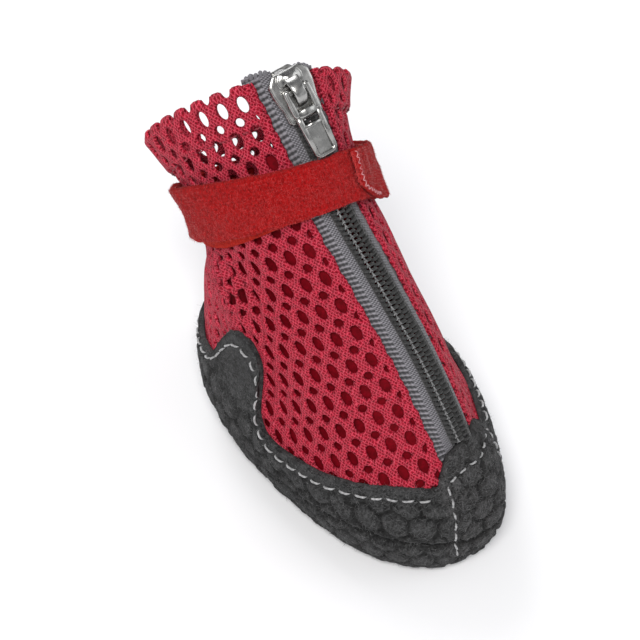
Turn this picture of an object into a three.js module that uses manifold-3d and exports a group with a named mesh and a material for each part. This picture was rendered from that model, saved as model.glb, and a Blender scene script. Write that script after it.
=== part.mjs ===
import * as THREE from 'three';
import Module from 'manifold-3d';

const wasm = await Module();
wasm.setup();
const { Manifold, Mesh } = wasm;

// Named sizes of the boot, in millimetres. Toe points to -Y, +X is the boot's left side.
const soleLength = 87.5;
const soleWidth = 52;
const bootHeight = 102;
const meshWall = 1.5;
const hemStep = 0.8;
const hemLevel = 7.36;
const feltThickness = 1.8;
const pieceGap = 0.3;
const soleThickness = 2.4;
const insoleThickness = 1.5;
const edgeTuck = 3.2;
const grooveDepth = 0.6;
const zipShift = -1.2;
const throatHalf = 6.8;
const throatLevel = 2.86;
const tapeThickness = 0.8;
const tapeInner = 1.8;
const tapeOuter = 11.2;
const coilHalf = 2.9;
const coilBase = 0.7;
const coilTop = 2.5;
const strapThickness = 1.9;
const tabThickness = 1.4;
const capHalfTurn = 26;

// Sections of the foot and shaft from the sole up to the collar. Fronts and backs are shares of
// soleLength and bootHeight, half widths and leans are shares of soleWidth. Twist turns a ring about
// the shaft, as a share of soleLength. Full is the roundness of a ring, and flank that of its left
// front quarter, which is flatter.
const columns = ['frontY', 'frontZ', 'backY', 'backZ', 'half', 'lean', 'widest', 'full', 'twist', 'flank'];
const sections = [
  [-0.471, 0.026, 0.473, 0.026, 0.450, 0, 0.42, 2.35, 0, 1.45],
  [-0.491, 0.118, 0.506, 0.118, 0.504, 0, 0.43, 2.3, 0, 1.37],
  [-0.457, 0.221, 0.531, 0.176, 0.485, 0, 0.45, 2.2, 0, 1.35],
  [-0.377, 0.304, 0.552, 0.230, 0.446, 0, 0.47, 2.1, 0, 1.38],
  [-0.200, 0.476, 0.560, 0.324, 0.400, 0, 0.50, 2.0, 0, 1.5],
  [-0.011, 0.618, 0.544, 0.402, 0.362, 0, 0.50, 2.0, 0, 1.66],
  [0.141, 0.742, 0.530, 0.467, 0.356, -0.013, 0.50, 2.0, 0, 1.86],
  [0.211, 0.848, 0.581, 0.554, 0.354, -0.018, 0.50, 2.0, 0, 1.95],
  [0.354, 0.990, 0.628, 0.632, 0.392, -0.022, 0.50, 2.0, 0.10, 2.0],
].map((row) => Object.fromEntries(columns.map((name, index) => [name, row[index]])));
const lastLevel = sections.length - 1;

// Top edge of the felt: where a line starting at turn "base" on the sole ends, and how high.
const feltEdge = [
  { base: 26, turn: 26, level: 2.53 },
  { base: 37, turn: 37, level: 2.53 },
  { base: 48, turn: 48, level: 2.47 },
  { base: 65, turn: 65, level: 2.25 },
  { base: 76, turn: 76, level: 2.08 },
  { base: 86, turn: 87, level: 1.98 },
  { base: 92, turn: 94, level: 1.88 },
  { base: 97, turn: 98, level: 2.00 },
  { base: 101, turn: 99, level: 2.55 },
  { base: 104, turn: 96, level: 3.18 },
  { base: 107, turn: 90, level: 3.60 },
  { base: 109, turn: 89, level: 3.85 },
  { base: 111, turn: 92, level: 4.00 },
  { base: 114, turn: 99, level: 4.05 },
  { base: 118, turn: 108, level: 3.82 },
  { base: 123, turn: 118, level: 3.32 },
  { base: 129, turn: 126, level: 2.74 },
  { base: 141, turn: 140, level: 2.35 },
  { base: 160, turn: 160, level: 2.20 },
  { base: 180, turn: 180, level: 2.20 },
];

// Top edge of the toe cap, by turn from the zip.
const capEdge = [
  { turn: 0, level: 3.14 },
  { turn: 8, level: 3.12 },
  { turn: 15, level: 3.06 },
  { turn: 20, level: 2.90 },
  { turn: 24, level: 2.66 },
  { turn: 26, level: 2.53 },
];

// How far the strap stands off the shaft, by turn from the zip (negative is the wearer's right).
const strapStand = [
  { turn: -180, stand: 1.5 },
  { turn: -150, stand: 1.7 },
  { turn: -115, stand: 1.8 },
  { turn: -80, stand: 1.7 },
  { turn: -30, stand: 1.7 },
  { turn: -14, stand: 3.0 },
  { turn: 8, stand: 3.0 },
  { turn: 26, stand: 0.7 },
  { turn: 90, stand: 0.5 },
  { turn: 130, stand: 0.9 },
  { turn: 180, stand: 1.5 },
];

const radians = (degrees) => (degrees * Math.PI) / 180;

function sectionAt(level) {
  const held = Math.min(Math.max(level, 0), lastLevel);
  const lower = Math.min(Math.floor(held), lastLevel - 1);
  const share = held - lower;
  const rows = [-1, 0, 1, 2].map((step) => sections[Math.min(Math.max(lower + step, 0), lastLevel)]);
  const blend = (name) => {
    const [before, start, end, after] = rows.map((row) => row[name]);
    const slope = (end - before) * share;
    const bend = (2 * before - 5 * start + 4 * end - after) * share * share;
    const twist = (3 * start - before - 3 * end + after) * share ** 3;
    return 0.5 * (2 * start + slope + bend + twist);
  };
  return {
    frontY: blend('frontY') * soleLength,
    frontZ: blend('frontZ') * bootHeight,
    backY: blend('backY') * soleLength,
    backZ: blend('backZ') * bootHeight,
    half: blend('half') * soleWidth,
    lean: blend('lean') * soleWidth,
    widest: blend('widest'),
    full: blend('full'),
    flank: blend('flank'),
    twist: blend('twist') * soleLength,
  };
}

// Point of the boot's body at a level and a turn (degrees, 0 at the zip), "out" away from it.
function bodyPoint(level, turn, out) {
  const s = sectionAt(level);
  const depth = Math.hypot(s.backY - s.frontY, s.backZ - s.frontZ);
  const toBackY = (s.backY - s.frontY) / depth;
  const toBackZ = (s.backZ - s.frontZ) / depth;
  const cosine = Math.cos(radians(turn));
  const sine = Math.sin(radians(turn));
  const reach = (cosine > 0 ? s.widest : 1 - s.widest) * depth + out;
  const sideways = Math.sign(sine) * Math.abs(sine) ** (2 / s.full);
  const round = cosine > 0 && sine > 0 ? s.flank : s.full;
  const along = -Math.sign(cosine) * reach * Math.max(1 - Math.abs(sideways) ** round, 0) ** (1 / round);
  const across = (s.half + out) * sideways;
  const past = Math.max(level - lastLevel, 0) * 15;
  return new THREE.Vector3(
    s.lean + across,
    s.frontY + toBackY * (s.widest * depth + along) - s.twist * sideways + past * 0.42,
    s.frontZ + toBackZ * (s.widest * depth + along) + past * 0.9,
  );
}

// Turn of a point that lies "side" millimetres from the middle of the zip.
function zipTurn(level, side) {
  const s = sectionAt(level);
  const share = Math.min(Math.abs(side + zipShift) / s.half, 0.999);
  return Math.sign(side + zipShift) * THREE.MathUtils.radToDeg(Math.asin(share ** (s.full / 2)));
}

function zipPoint(level, side, out) {
  return bodyPoint(level, zipTurn(level, side), out);
}

function readTable(table, key, name, value) {
  let index = 0;
  while (index < table.length - 2 && table[index + 1][key] <= value) {
    index += 1;
  }
  const lower = table[index];
  const upper = table[index + 1];
  const share = Math.min(Math.max((value - lower[key]) / (upper[key] - lower[key]), 0), 1);
  return lower[name] + (upper[name] - lower[name]) * share;
}

// Closed solid between two grids of points; "around" joins the last column to the first.
function shellBetween(outer, inner, around) {
  const rows = outer.length;
  const columns = outer[0].length;
  const points = [];
  [outer, inner].forEach((grid) => grid.forEach((row) => row.forEach((p) => points.push(p.x, p.y, p.z))));
  const at = (layer, row, column) => layer * rows * columns + row * columns + (column % columns);
  const faces = [];
  const quad = (a, b, c, d) => faces.push(a, b, c, a, c, d);
  const lastColumn = around ? columns : columns - 1;
  for (let row = 0; row < rows - 1; row += 1) {
    for (let column = 0; column < lastColumn; column += 1) {
      quad(at(0, row, column), at(0, row, column + 1), at(0, row + 1, column + 1), at(0, row + 1, column));
      quad(at(1, row, column), at(1, row + 1, column), at(1, row + 1, column + 1), at(1, row, column + 1));
    }
  }
  for (let column = 0; column < lastColumn; column += 1) {
    quad(at(1, 0, column), at(1, 0, column + 1), at(0, 0, column + 1), at(0, 0, column));
    const top = rows - 1;
    quad(at(0, top, column), at(0, top, column + 1), at(1, top, column + 1), at(1, top, column));
  }
  if (!around) {
    const end = columns - 1;
    for (let row = 0; row < rows - 1; row += 1) {
      quad(at(0, row, 0), at(0, row + 1, 0), at(1, row + 1, 0), at(1, row, 0));
      quad(at(1, row, end), at(1, row + 1, end), at(0, row + 1, end), at(0, row, end));
    }
  }
  return solidFrom(points, faces);
}

function solidFrom(points, faces) {
  const mesh = new Mesh({
    numProp: 3,
    vertProperties: new Float32Array(points),
    triVerts: new Uint32Array(faces),
  });
  const solid = new Manifold(mesh);
  return solid.volume() < 0 ? solidFrom(points, flipFaces(faces)) : solid;
}

function flipFaces(faces) {
  const flipped = [];
  for (let index = 0; index < faces.length; index += 3) {
    flipped.push(faces[index], faces[index + 2], faces[index + 1]);
  }
  return flipped;
}

// Grid of points: one row per value of "levels", one column per value of "steps".
const gridOf = (levels, steps, pointAt) => levels.map((level) => steps.map((step) => pointAt(level, step)));
const evenly = (from, to, count) => Array.from({ length: count + 1 }, (_, i) => from + ((to - from) * i) / count);

// Closed solid whose cross profile (a list of points) is swept through stations.
function sweepProfile(stations, around) {
  const count = stations.length;
  const size = stations[0].length;
  const points = stations.flatMap((ring) => ring.flatMap((p) => [p.x, p.y, p.z]));
  const faces = [];
  const at = (station, corner) => (station % count) * size + (corner % size);
  const last = around ? count : count - 1;
  for (let station = 0; station < last; station += 1) {
    for (let corner = 0; corner < size; corner += 1) {
      const a = at(station, corner);
      const b = at(station, corner + 1);
      const c = at(station + 1, corner + 1);
      const d = at(station + 1, corner);
      faces.push(a, b, c, a, c, d);
    }
  }
  if (!around) {
    for (let corner = 1; corner < size - 1; corner += 1) {
      faces.push(at(0, 0), at(0, corner + 1), at(0, corner));
      faces.push(at(count - 1, 0), at(count - 1, corner), at(count - 1, corner + 1));
    }
  }
  return solidFrom(points, faces);
}

// Upright prism over an outline given as [x, y] pairs, between two heights.
function prism(drawn, low, high) {
  const drawnArea = THREE.ShapeUtils.area(drawn.map(([x, y]) => new THREE.Vector2(x, y)));
  const outline = drawnArea < 0 ? [...drawn].reverse() : drawn;
  const contour = outline.map(([x, y]) => new THREE.Vector2(x, y));
  const caps = THREE.ShapeUtils.triangulateShape(contour, []);
  const count = outline.length;
  const points = [low, high].flatMap((z) => outline.flatMap(([x, y]) => [x, y, z]));
  const faces = [];
  caps.forEach(([a, b, c]) => faces.push(a, c, b, a + count, b + count, c + count));
  for (let corner = 0; corner < count; corner += 1) {
    const next = (corner + 1) % count;
    faces.push(corner, next, next + count, corner, next + count, corner + count);
  }
  return solidFrom(points, faces);
}

const boxSolid = (x0, x1, y0, y1, z0, z1) => prism([[x0, y0], [x1, y0], [x1, y1], [x0, y1]], z0, z1);

function nodeOf(name, solid, colour, roughness, metalness = 0) {
  const mesh = solid.getMesh();
  const geometry = new THREE.BufferGeometry();
  const stride = mesh.numProp;
  const positions = [];
  for (let index = 0; index < mesh.vertProperties.length; index += stride) {
    positions.push(mesh.vertProperties[index], mesh.vertProperties[index + 1], mesh.vertProperties[index + 2]);
  }
  geometry.setAttribute('position', new THREE.Float32BufferAttribute(positions, 3));
  geometry.setIndex(Array.from(mesh.triVerts));
  geometry.computeVertexNormals();
  const node = new THREE.Mesh(geometry, new THREE.MeshStandardMaterial({ color: colour, roughness, metalness }));
  node.name = name;
  return node;
}

const turnsAround = evenly(-180, 180, 52).slice(0, -1);
const feltOut = pieceGap + feltThickness;

// Outsole: felt bottom with a soft edge, a groove above it, and a wall that ends at the felt edge.
function outsoleProfile(turn) {
  const side = Math.sign(turn) || 1;
  const plain = Math.abs(turn);
  const covered = plain < capHalfTurn;
  const edgeTurn = covered ? plain : readTable(feltEdge, 'base', 'turn', plain);
  const top = covered ? 0.42 : readTable(feltEdge, 'base', 'level', plain);
  const spring = 1.1 * Math.max(0, Math.cos(radians(turn))) ** 4;
  const wallPoint = (share, out) => {
    const bent = plain + (edgeTurn - plain) * share ** 3;
    return bodyPoint(top * share, side * bent, out);
  };
  const rim = bodyPoint(0, turn, feltOut);
  const tucked = bodyPoint(0, turn, feltOut - edgeTuck);
  const nearly = bodyPoint(0, turn, feltOut - edgeTuck * 0.28);
  const floorOut = covered ? feltOut - 0.25 : feltOut;
  const profile = [
    new THREE.Vector3(tucked.x, tucked.y, spring * 0.35),
    new THREE.Vector3(nearly.x, nearly.y, 0.75 + spring * 0.8),
    new THREE.Vector3(rim.x, rim.y, soleThickness + spring * 0.4),
  ];
  const grooveShare = Math.min(0.24 / top, 0.5);
  profile.push(wallPoint(grooveShare, floorOut + 0.1));
  profile.push(wallPoint(grooveShare * 1.35, floorOut - grooveDepth));
  profile.push(wallPoint(grooveShare * 1.7, floorOut + 0.05));
  const from = Math.min(grooveShare * 1.7, 0.9);
  [0.2, 0.42, 0.64, 0.84, 1].forEach((step) => profile.push(wallPoint(from + (1 - from) * step, floorOut)));
  [1, 0.8, 0.6, 0.4, 0.2, 0.02].forEach((share) => profile.push(wallPoint(share, pieceGap)));
  const inside = bodyPoint(0, turn, pieceGap - 0.1);
  profile.push(new THREE.Vector3(inside.x, inside.y, soleThickness));
  return profile;
}

function outsoleSolid() {
  const turns = [];
  feltEdge.forEach((row) => turns.push(row.base));
  [0, 7, 13, 19, 25.4, 31, 42, 56, 70, 81, 116, 126, 135, 150, 170].forEach((turn) => turns.push(turn));
  const right = turns.sort((a, b) => a - b);
  const all = [...right.slice(1, -1).map((turn) => -turn).reverse(), ...right];
  const profiles = all.map((turn) => outsoleProfile(turn));
  const size = profiles[0].length;
  const points = profiles.flatMap((ring) => ring.flatMap((p) => [p.x, p.y, p.z]));
  const count = profiles.length;
  const faces = [];
  const at = (ring, corner) => (ring % count) * size + corner;
  for (let ring = 0; ring < count; ring += 1) {
    for (let corner = 0; corner < size - 1; corner += 1) {
      const a = at(ring, corner);
      const b = at(ring, corner + 1);
      const c = at(ring + 1, corner + 1);
      const d = at(ring + 1, corner);
      faces.push(a, c, b, a, d, c);
    }
  }
  const floorMiddle = points.length / 3;
  points.push(0, 0, 0);
  points.push(0, 0, soleThickness);
  for (let ring = 0; ring < count; ring += 1) {
    faces.push(floorMiddle, at(ring + 1, 0), at(ring, 0));
    faces.push(floorMiddle + 1, at(ring, size - 1), at(ring + 1, size - 1));
  }
  return solidFrom(points, faces);
}

// The floor side of the outsole is pressed flat where it bears, from heel to forefoot.
const outsole = outsoleSolid();

function toeCapSolid() {
  const turns = evenly(-capHalfTurn + 0.9, capHalfTurn - 0.9, 14);
  const shares = [0, 0.03, 0.2, 0.4, 0.6, 0.8, 0.95, 1];
  const lowLevel = 0.56;
  const place = (share, turn, out) => {
    const top = readTable(capEdge, 'turn', 'level', Math.abs(turn));
    const lift = share > 0.99 ? 0 : 0.25 * Math.sin(Math.PI * share);
    return bodyPoint(lowLevel + (top - lowLevel) * share, turn, out + (out > 1 ? lift : 0));
  };
  const outer = gridOf(shares, turns, (share, turn) => place(share, turn, feltOut + (share === 0 ? -0.7 : 0)));
  const inner = gridOf(shares, turns, (share, turn) => place(share, turn, pieceGap));
  return shellBetween(outer, inner, false);
}

function upperSolid() {
  const levels = [0.12, 0.5, 1, 1.5, 2, 2.5, 3, 3.4, 3.8, 4.2, 4.6, 5, 5.4, 5.8, 6.2, 6.6, 7, hemLevel - 0.04, hemLevel, 7.7, 8];
  const outLift = (level) => (level >= hemLevel ? hemStep : 0);
  const outer = gridOf(levels, turnsAround, (level, turn) => bodyPoint(level, turn, outLift(level)));
  const inner = gridOf(levels, turnsAround, (level, turn) => bodyPoint(level, turn, -meshWall));
  const tube = shellBetween(outer, inner, true);
  const sides = evenly(-throatHalf, throatHalf, 4);
  const slotLevels = evenly(throatLevel, 8, 16).concat([8.4]);
  const above = gridOf(slotLevels, sides, (level, side) => zipPoint(level, side, 6));
  const below = gridOf(slotLevels, sides, (level, side) => zipPoint(level, side, -8));
  return tube.subtract(shellBetween(above, below, false));
}

function insoleSolid() {
  const turns = evenly(-180, 180, 44).slice(0, -1);
  const low = soleThickness + pieceGap;
  const out = -meshWall - pieceGap - 0.2;
  const outline = turns.map((turn) => {
    const p = bodyPoint(0.2, turn, out);
    return [p.x, p.y];
  });
  return prism(outline, low, low + insoleThickness);
}

// Height of the tape over the body: low under the mesh edge, rising beside the coil.
function tapeOut(level, side) {
  const plain = Math.abs(side);
  const clear = Math.min(Math.max((level - 3.16) / 0.16, 0), 1);
  const rise = Math.min(Math.max((throatHalf - 0.4 - plain) / 2.6, 0), 1) * clear;
  const low = -meshWall - pieceGap - tapeThickness - 0.05;
  return low + (-0.4 - low) * rise * rise * (3 - 2 * rise);
}

function tapeSolid(side) {
  const levels = [throatLevel - 0.1, 3, 3.16, 3.24, 3.32].concat(evenly(3.5, 8, 20), [8.16]);
  const spans = [tapeInner, 2.9, 4, 5, 5.8, 6.6, 8.4, tapeOuter];
  const ordered = side > 0 ? spans : spans.map((span) => -span).reverse();
  const outer = gridOf(levels, ordered, (level, span) => zipPoint(level, span, tapeOut(level, span) + tapeThickness));
  const inner = gridOf(levels, ordered, (level, span) => zipPoint(level, span, tapeOut(level, span)));
  return shellBetween(outer, inner, false);
}

const coilStart = 3.24;
const coilEnd = 7.92;

function coilSolid() {
  const stations = evenly(coilStart, coilEnd, 26).map((level) => [
    zipPoint(level, -coilHalf, coilBase),
    zipPoint(level, -tapeInner, coilBase),
    zipPoint(level, tapeInner, coilBase),
    zipPoint(level, coilHalf, coilBase),
    zipPoint(level, coilHalf, coilBase + 0.9),
    zipPoint(level, coilHalf * 0.72, coilTop),
    zipPoint(level, coilHalf * 0.2, coilTop),
    zipPoint(level, 0, coilTop - 0.4),
    zipPoint(level, -coilHalf * 0.2, coilTop),
    zipPoint(level, -coilHalf * 0.72, coilTop),
    zipPoint(level, -coilHalf, coilBase + 0.9),
  ]);
  return sweepProfile(stations, false);
}

// Frame on the zip where the slider sits: x across, y up along the zip, z out of it.
const sliderLevel = 7.72;
const sliderOrigin = zipPoint(sliderLevel, 0, 0);
const upZip = zipPoint(sliderLevel + 0.2, 0, 0).sub(zipPoint(sliderLevel - 0.2, 0, 0)).normalize();
const acrossZip = zipPoint(sliderLevel, 3, 0).sub(zipPoint(sliderLevel, -3, 0)).normalize();
const outOfZip = new THREE.Vector3().crossVectors(acrossZip, upZip).normalize();
acrossZip.crossVectors(upZip, outOfZip).normalize();
const sliderFrame = new THREE.Matrix4().makeBasis(acrossZip, upZip, outOfZip).setPosition(sliderOrigin);

function placeOnZip(solid) {
  return solid.transform(sliderFrame.elements);
}

const plateLow = 2.95;
const plateHigh = 4.1;
const plateOutline = [
  [-3.8, -5.6], [3.8, -5.6], [4.1, -2.2], [4.9, 1.6], [4.9, 4.2], [3.4, 5.9], [-3.4, 5.9], [-4.9, 4.2], [-4.9, 1.6], [-4.1, -2.2],
];
const pinUp = 1.2;
const pinOut = 5.3;

// Profile drawn as [along the zip, out of it], made as wide as asked and centred on the zip.
function acrossPrism(outline, half) {
  const turned = new THREE.Matrix4().makeBasis(
    new THREE.Vector3(0, 1, 0),
    new THREE.Vector3(0, 0, 1),
    new THREE.Vector3(1, 0, 0),
  );
  return prism(outline, -half, half).transform(turned.elements);
}

function sliderSolid() {
  const lip = 0.6;
  let body = prism(plateOutline, plateLow, plateHigh);
  [-1, 1].forEach((side) => {
    const rail = [[3.5, -5.6], [3.6, -2.2], [4.9 - lip, 1.6], [4.9, 1.6], [4.1, -2.2], [3.8, -5.6]];
    const wide = rail.map(([x, y]) => [side * x, y]);
    body = body.add(prism(wide, 1.5, plateLow + 0.2));
  });
  const post = boxSolid(-1.35, 1.35, 4.6, 5.8, -2.6, plateLow + 0.2);
  const foot = prism(plateOutline.map(([x, y]) => [x * 0.92, y]), -3.2, -2.3);
  const arch = acrossPrism([[-2.6, 3.8], [-2.6, 5.6], [-1.2, 7.4], [3.6, 7.4], [4.6, 5.6], [4.6, 3.8]], 1.25);
  const gap = acrossPrism([[-1.4, plateHigh], [-1.4, 5.2], [-0.6, 6.35], [3.0, 6.35], [3.4, 5.4], [3.4, plateHigh]], 3);
  return placeOnZip(body.add(post).add(foot).add(arch.subtract(gap)));
}

const pullLength = 15.6;

function pullSolid() {
  const half = 0.7;
  const reach = pinUp - pullLength;
  const plate = prism([
    [-3.2, pinUp + 0.6], [-3.2, pinUp - 5], [-2.9, reach + 1], [-2.2, reach], [2.2, reach], [2.9, reach + 1],
    [3.2, pinUp - 5], [3.2, pinUp + 0.6], [2.6, pinUp + 1], [-2.6, pinUp + 1],
  ], pinOut - half, pinOut + half);
  const window = boxSolid(-1.75, 1.75, pinUp - 4.5, pinUp + 1.4, pinOut - 2, pinOut + 2);
  const ring = Array.from({ length: 12 }, (_, i) => [
    pinUp + 0.72 * Math.cos((i * Math.PI) / 6),
    pinOut + 0.72 * Math.sin((i * Math.PI) / 6),
  ]);
  const pin = acrossPrism(ring, 2.4);
  const eye = boxSolid(-1.5, 1.5, pinUp - 8.2, pinUp - 5.9, pinOut - 2, pinOut + 2);
  const panel = boxSolid(-2, 2, reach + 1.1, pinUp - 9.2, pinOut + half - 0.3, pinOut + 2);
  return placeOnZip(plate.subtract(window).subtract(eye).subtract(panel).add(pin));
}

// Level of the strap's lower edge round the shaft, and its height as a share of a level.
const strapLow = (turn) => {
  const left = Math.max(Math.sin(radians(turn)), 0);
  return 6.0 - 0.2 * Math.sin(radians(turn)) - (0.5 * left ** 2) / (left + 0.25);
};
const strapHeight = (turn) => 0.99 + 0.09 * (1 - Math.cos(radians(turn)));

function strapRing() {
  const stations = evenly(-180, 180, 60).slice(0, -1).map((turn) => {
    const stand = readTable(strapStand, 'turn', 'stand', turn);
    const low = strapLow(turn);
    const high = low + strapHeight(turn);
    const round = 0.045;
    return [
      bodyPoint(low, turn, stand),
      bodyPoint(low, turn, stand + strapThickness * 0.6),
      bodyPoint(low + round, turn, stand + strapThickness),
      bodyPoint((low + high) / 2, turn, stand + strapThickness + 0.1),
      bodyPoint(high - round, turn, stand + strapThickness),
      bodyPoint(high, turn, stand + strapThickness * 0.6),
      bodyPoint(high, turn, stand),
      bodyPoint((low + high) / 2, turn, stand),
    ];
  });
  return sweepProfile(stations, true);
}

function strapTabSolid() {
  const turns = [7, 8.5, 11, 15, 23, 34, 48, 62, 76, 90, 100];
  const inset = (turn) => (turn < 23 ? 0.36 * (1 - Math.sqrt(1 - ((23 - turn) / 16) ** 2)) : 0);
  const place = (share, turn, out) => {
    const stand = readTable(strapStand, 'turn', 'stand', turn) + strapThickness + 0.1 + pieceGap;
    const low = strapLow(turn) - 0.02 + inset(turn);
    const high = strapLow(turn) + strapHeight(turn) + 0.02 - inset(turn) * 0.12;
    return bodyPoint(low + (high - low) * share, turn, stand + out);
  };
  const shares = [0, 0.08, 0.5, 0.92, 1];
  const outer = gridOf(shares, turns, (share, turn) => place(share, turn, share > 0.01 && share < 0.99 ? tabThickness : tabThickness - 0.4));
  const inner = gridOf(shares, turns, (share, turn) => place(share, turn, 0));
  return shellBetween(outer, inner, false);
}

function strapUnderSolid() {
  const turns = evenly(-132, -38, 18);
  const place = (share, turn, out) => {
    const fade = Math.min(Math.max((-38 - turn) / 50, 0), 1);
    const low = strapLow(turn) - 0.02 - 0.24 * fade;
    return bodyPoint(low + (0.5 - 0.02) * share + 0.2 * share, turn, out);
  };
  const shares = [0, 0.15, 0.6, 1];
  const outer = gridOf(shares, turns, (share, turn) => place(share, turn, 1.25));
  const inner = gridOf(shares, turns, (share, turn) => place(share, turn, pieceGap));
  return shellBetween(outer, inner, false);
}

const boot = new THREE.Group();
boot.name = 'dog_boot';
boot.add(
  nodeOf('outsole', outsole, 0x2f3032, 0.95),
  nodeOf('toe_cap', toeCapSolid(), 0x333436, 0.95),
  nodeOf('insole', insoleSolid(), 0x55575a, 0.9),
  nodeOf('upper', upperSolid(), 0xc01528, 0.8),
  nodeOf('zip_tape_left', tapeSolid(1), 0x6c6e74, 0.85),
  nodeOf('zip_tape_right', tapeSolid(-1), 0x6c6e74, 0.85),
  nodeOf('zip_coil', coilSolid(), 0x15161a, 0.6),
  nodeOf('zip_slider', sliderSolid(), 0xa9a8a4, 0.3, 1),
  nodeOf('zip_pull', pullSolid(), 0x9f9e9a, 0.3, 1),
  nodeOf('strap_band', strapRing(), 0xd32622, 0.95),
  nodeOf('strap_tab', strapTabSolid(), 0xd32622, 0.95),
  nodeOf('strap_under', strapUnderSolid(), 0xe2301c, 0.95),
);

export default boot;
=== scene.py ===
import math

import bpy
import numpy as np
from mathutils import Matrix, Vector


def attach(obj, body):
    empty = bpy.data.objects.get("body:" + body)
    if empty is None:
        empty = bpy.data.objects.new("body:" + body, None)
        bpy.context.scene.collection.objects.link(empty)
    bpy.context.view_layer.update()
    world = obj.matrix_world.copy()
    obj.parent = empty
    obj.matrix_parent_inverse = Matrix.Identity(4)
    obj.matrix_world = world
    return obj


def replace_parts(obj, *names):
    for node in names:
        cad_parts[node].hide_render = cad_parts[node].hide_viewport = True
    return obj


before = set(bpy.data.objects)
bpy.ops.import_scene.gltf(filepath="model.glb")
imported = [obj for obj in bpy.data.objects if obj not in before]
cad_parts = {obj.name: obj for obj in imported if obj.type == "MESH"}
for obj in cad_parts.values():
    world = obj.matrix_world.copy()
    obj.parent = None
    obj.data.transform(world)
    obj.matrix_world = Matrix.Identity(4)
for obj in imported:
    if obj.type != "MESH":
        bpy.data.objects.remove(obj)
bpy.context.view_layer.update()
scene = bpy.context.scene

# Sizes of the boot in millimetres, the same as in the frame. Toe to -Y, +Z up.
boot = {
    "soleLength": 87.5,
    "soleWidth": 52.0,
    "bootHeight": 102.0,
    "feltIn": 0.3,
    "feltOut": 2.1,
    "zipShift": -1.2,
    "zipHalf": 6.8,
    "strapThickness": 1.9,
    "levelRise": 15.0,
}
# The way the shaft points at the collar.
collarWay = np.array([0, 0.42, 0.9])

# Rings from the sole to the collar: frontY, frontZ, backY, backZ, half, lean, widest, full, twist, flank.
ringShares = np.array([
    [-0.471, 0.026, 0.473, 0.026, 0.450, 0, 0.42, 2.35, 0, 1.45],
    [-0.491, 0.118, 0.506, 0.118, 0.504, 0, 0.43, 2.3, 0, 1.37],
    [-0.457, 0.221, 0.531, 0.176, 0.485, 0, 0.45, 2.2, 0, 1.35],
    [-0.377, 0.304, 0.552, 0.230, 0.446, 0, 0.47, 2.1, 0, 1.38],
    [-0.200, 0.476, 0.560, 0.324, 0.400, 0, 0.50, 2.0, 0, 1.5],
    [-0.011, 0.618, 0.544, 0.402, 0.362, 0, 0.50, 2.0, 0, 1.66],
    [0.141, 0.742, 0.530, 0.467, 0.356, -0.013, 0.50, 2.0, 0, 1.86],
    [0.211, 0.848, 0.581, 0.554, 0.354, -0.018, 0.50, 2.0, 0, 1.95],
    [0.354, 0.990, 0.628, 0.632, 0.392, -0.022, 0.50, 2.0, 0.10, 2.0],
])
long, wide, high = boot["soleLength"], boot["soleWidth"], boot["bootHeight"]
rings = ringShares * np.array([long, high, long, high, wide, wide, 1, 1, long, 1])
topLevel = len(rings) - 1.0

# Where a line that starts at a turn on the sole ends at the felt's top edge: base, turn, level.
feltEdge = np.array([
    [0, 0, 2.53], [26, 26, 2.53], [37, 37, 2.53], [48, 48, 2.47], [65, 65, 2.25], [76, 76, 2.08], [86, 87, 1.98],
    [92, 94, 1.88], [97, 98, 2.00], [101, 99, 2.55], [104, 96, 3.18], [107, 90, 3.60], [109, 89, 3.85],
    [111, 92, 4.00], [114, 99, 4.05], [118, 108, 3.82], [123, 118, 3.32], [129, 126, 2.74],
    [141, 140, 2.35], [160, 160, 2.20], [180, 180, 2.20],
])
capTop = np.array([[0, 3.14], [8, 3.12], [15, 3.06], [20, 2.90], [24, 2.66], [26, 2.53]])
strapStand = np.array([
    [-180, 1.5], [-150, 1.7], [-115, 1.8], [-80, 1.7], [-30, 1.7], [-14, 3.0], [8, 3.0], [26, 0.7],
    [90, 0.5], [130, 0.9], [180, 1.5],
])


def ringAt(level):
    held = np.clip(np.asarray(level, float), 0, topLevel)
    lower = np.minimum(np.floor(held).astype(int), len(rings) - 2)
    share = (held - lower)[..., None]
    before, start, end, after = (rings[np.clip(lower + step, 0, len(rings) - 1)] for step in (-1, 0, 1, 2))
    bend = (2 * before - 5 * start + 4 * end - after) * share ** 2
    twist = (3 * start - before - 3 * end + after) * share ** 3
    return np.moveaxis(0.5 * (2 * start + (end - before) * share + bend + twist), -1, 0)


def bodyPoint(level, turn, out=0.0):
    level, turn, out = np.broadcast_arrays(np.asarray(level, float), np.asarray(turn, float), np.asarray(out, float))
    frontY, frontZ, backY, backZ, half, lean, widest, full, twist, flank = ringAt(level)
    depth = np.hypot(backY - frontY, backZ - frontZ)
    toBackY, toBackZ = (backY - frontY) / depth, (backZ - frontZ) / depth
    cosine, sine = np.cos(np.radians(turn)), np.sin(np.radians(turn))
    reach = np.where(cosine > 0, widest, 1 - widest) * depth + out
    sideways = np.sign(sine) * np.abs(sine) ** (2 / full)
    bow = np.where((cosine > 0) & (sine > 0), flank, full)
    along = -np.sign(cosine) * reach * np.maximum(1 - np.abs(sideways) ** bow, 0) ** (1 / bow)
    past = np.maximum(level - topLevel, 0) * boot["levelRise"]
    return np.stack([
        lean + (half + out) * sideways,
        frontY + toBackY * (widest * depth + along) - twist * sideways + past * collarWay[1],
        frontZ + toBackZ * (widest * depth + along) + past * collarWay[2],
    ], -1)


def unit(vectors):
    return vectors / np.maximum(np.linalg.norm(vectors, axis=-1, keepdims=True), 1e-9)


def bodyNormal(level, turn):
    level = np.clip(level, 0.03, topLevel - 0.03)
    rise = bodyPoint(level + 0.03, turn) - bodyPoint(level - 0.03, turn)
    aside = bodyPoint(level, turn + 0.8) - bodyPoint(level, turn - 0.8)
    return unit(np.cross(aside, rise))


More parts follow.
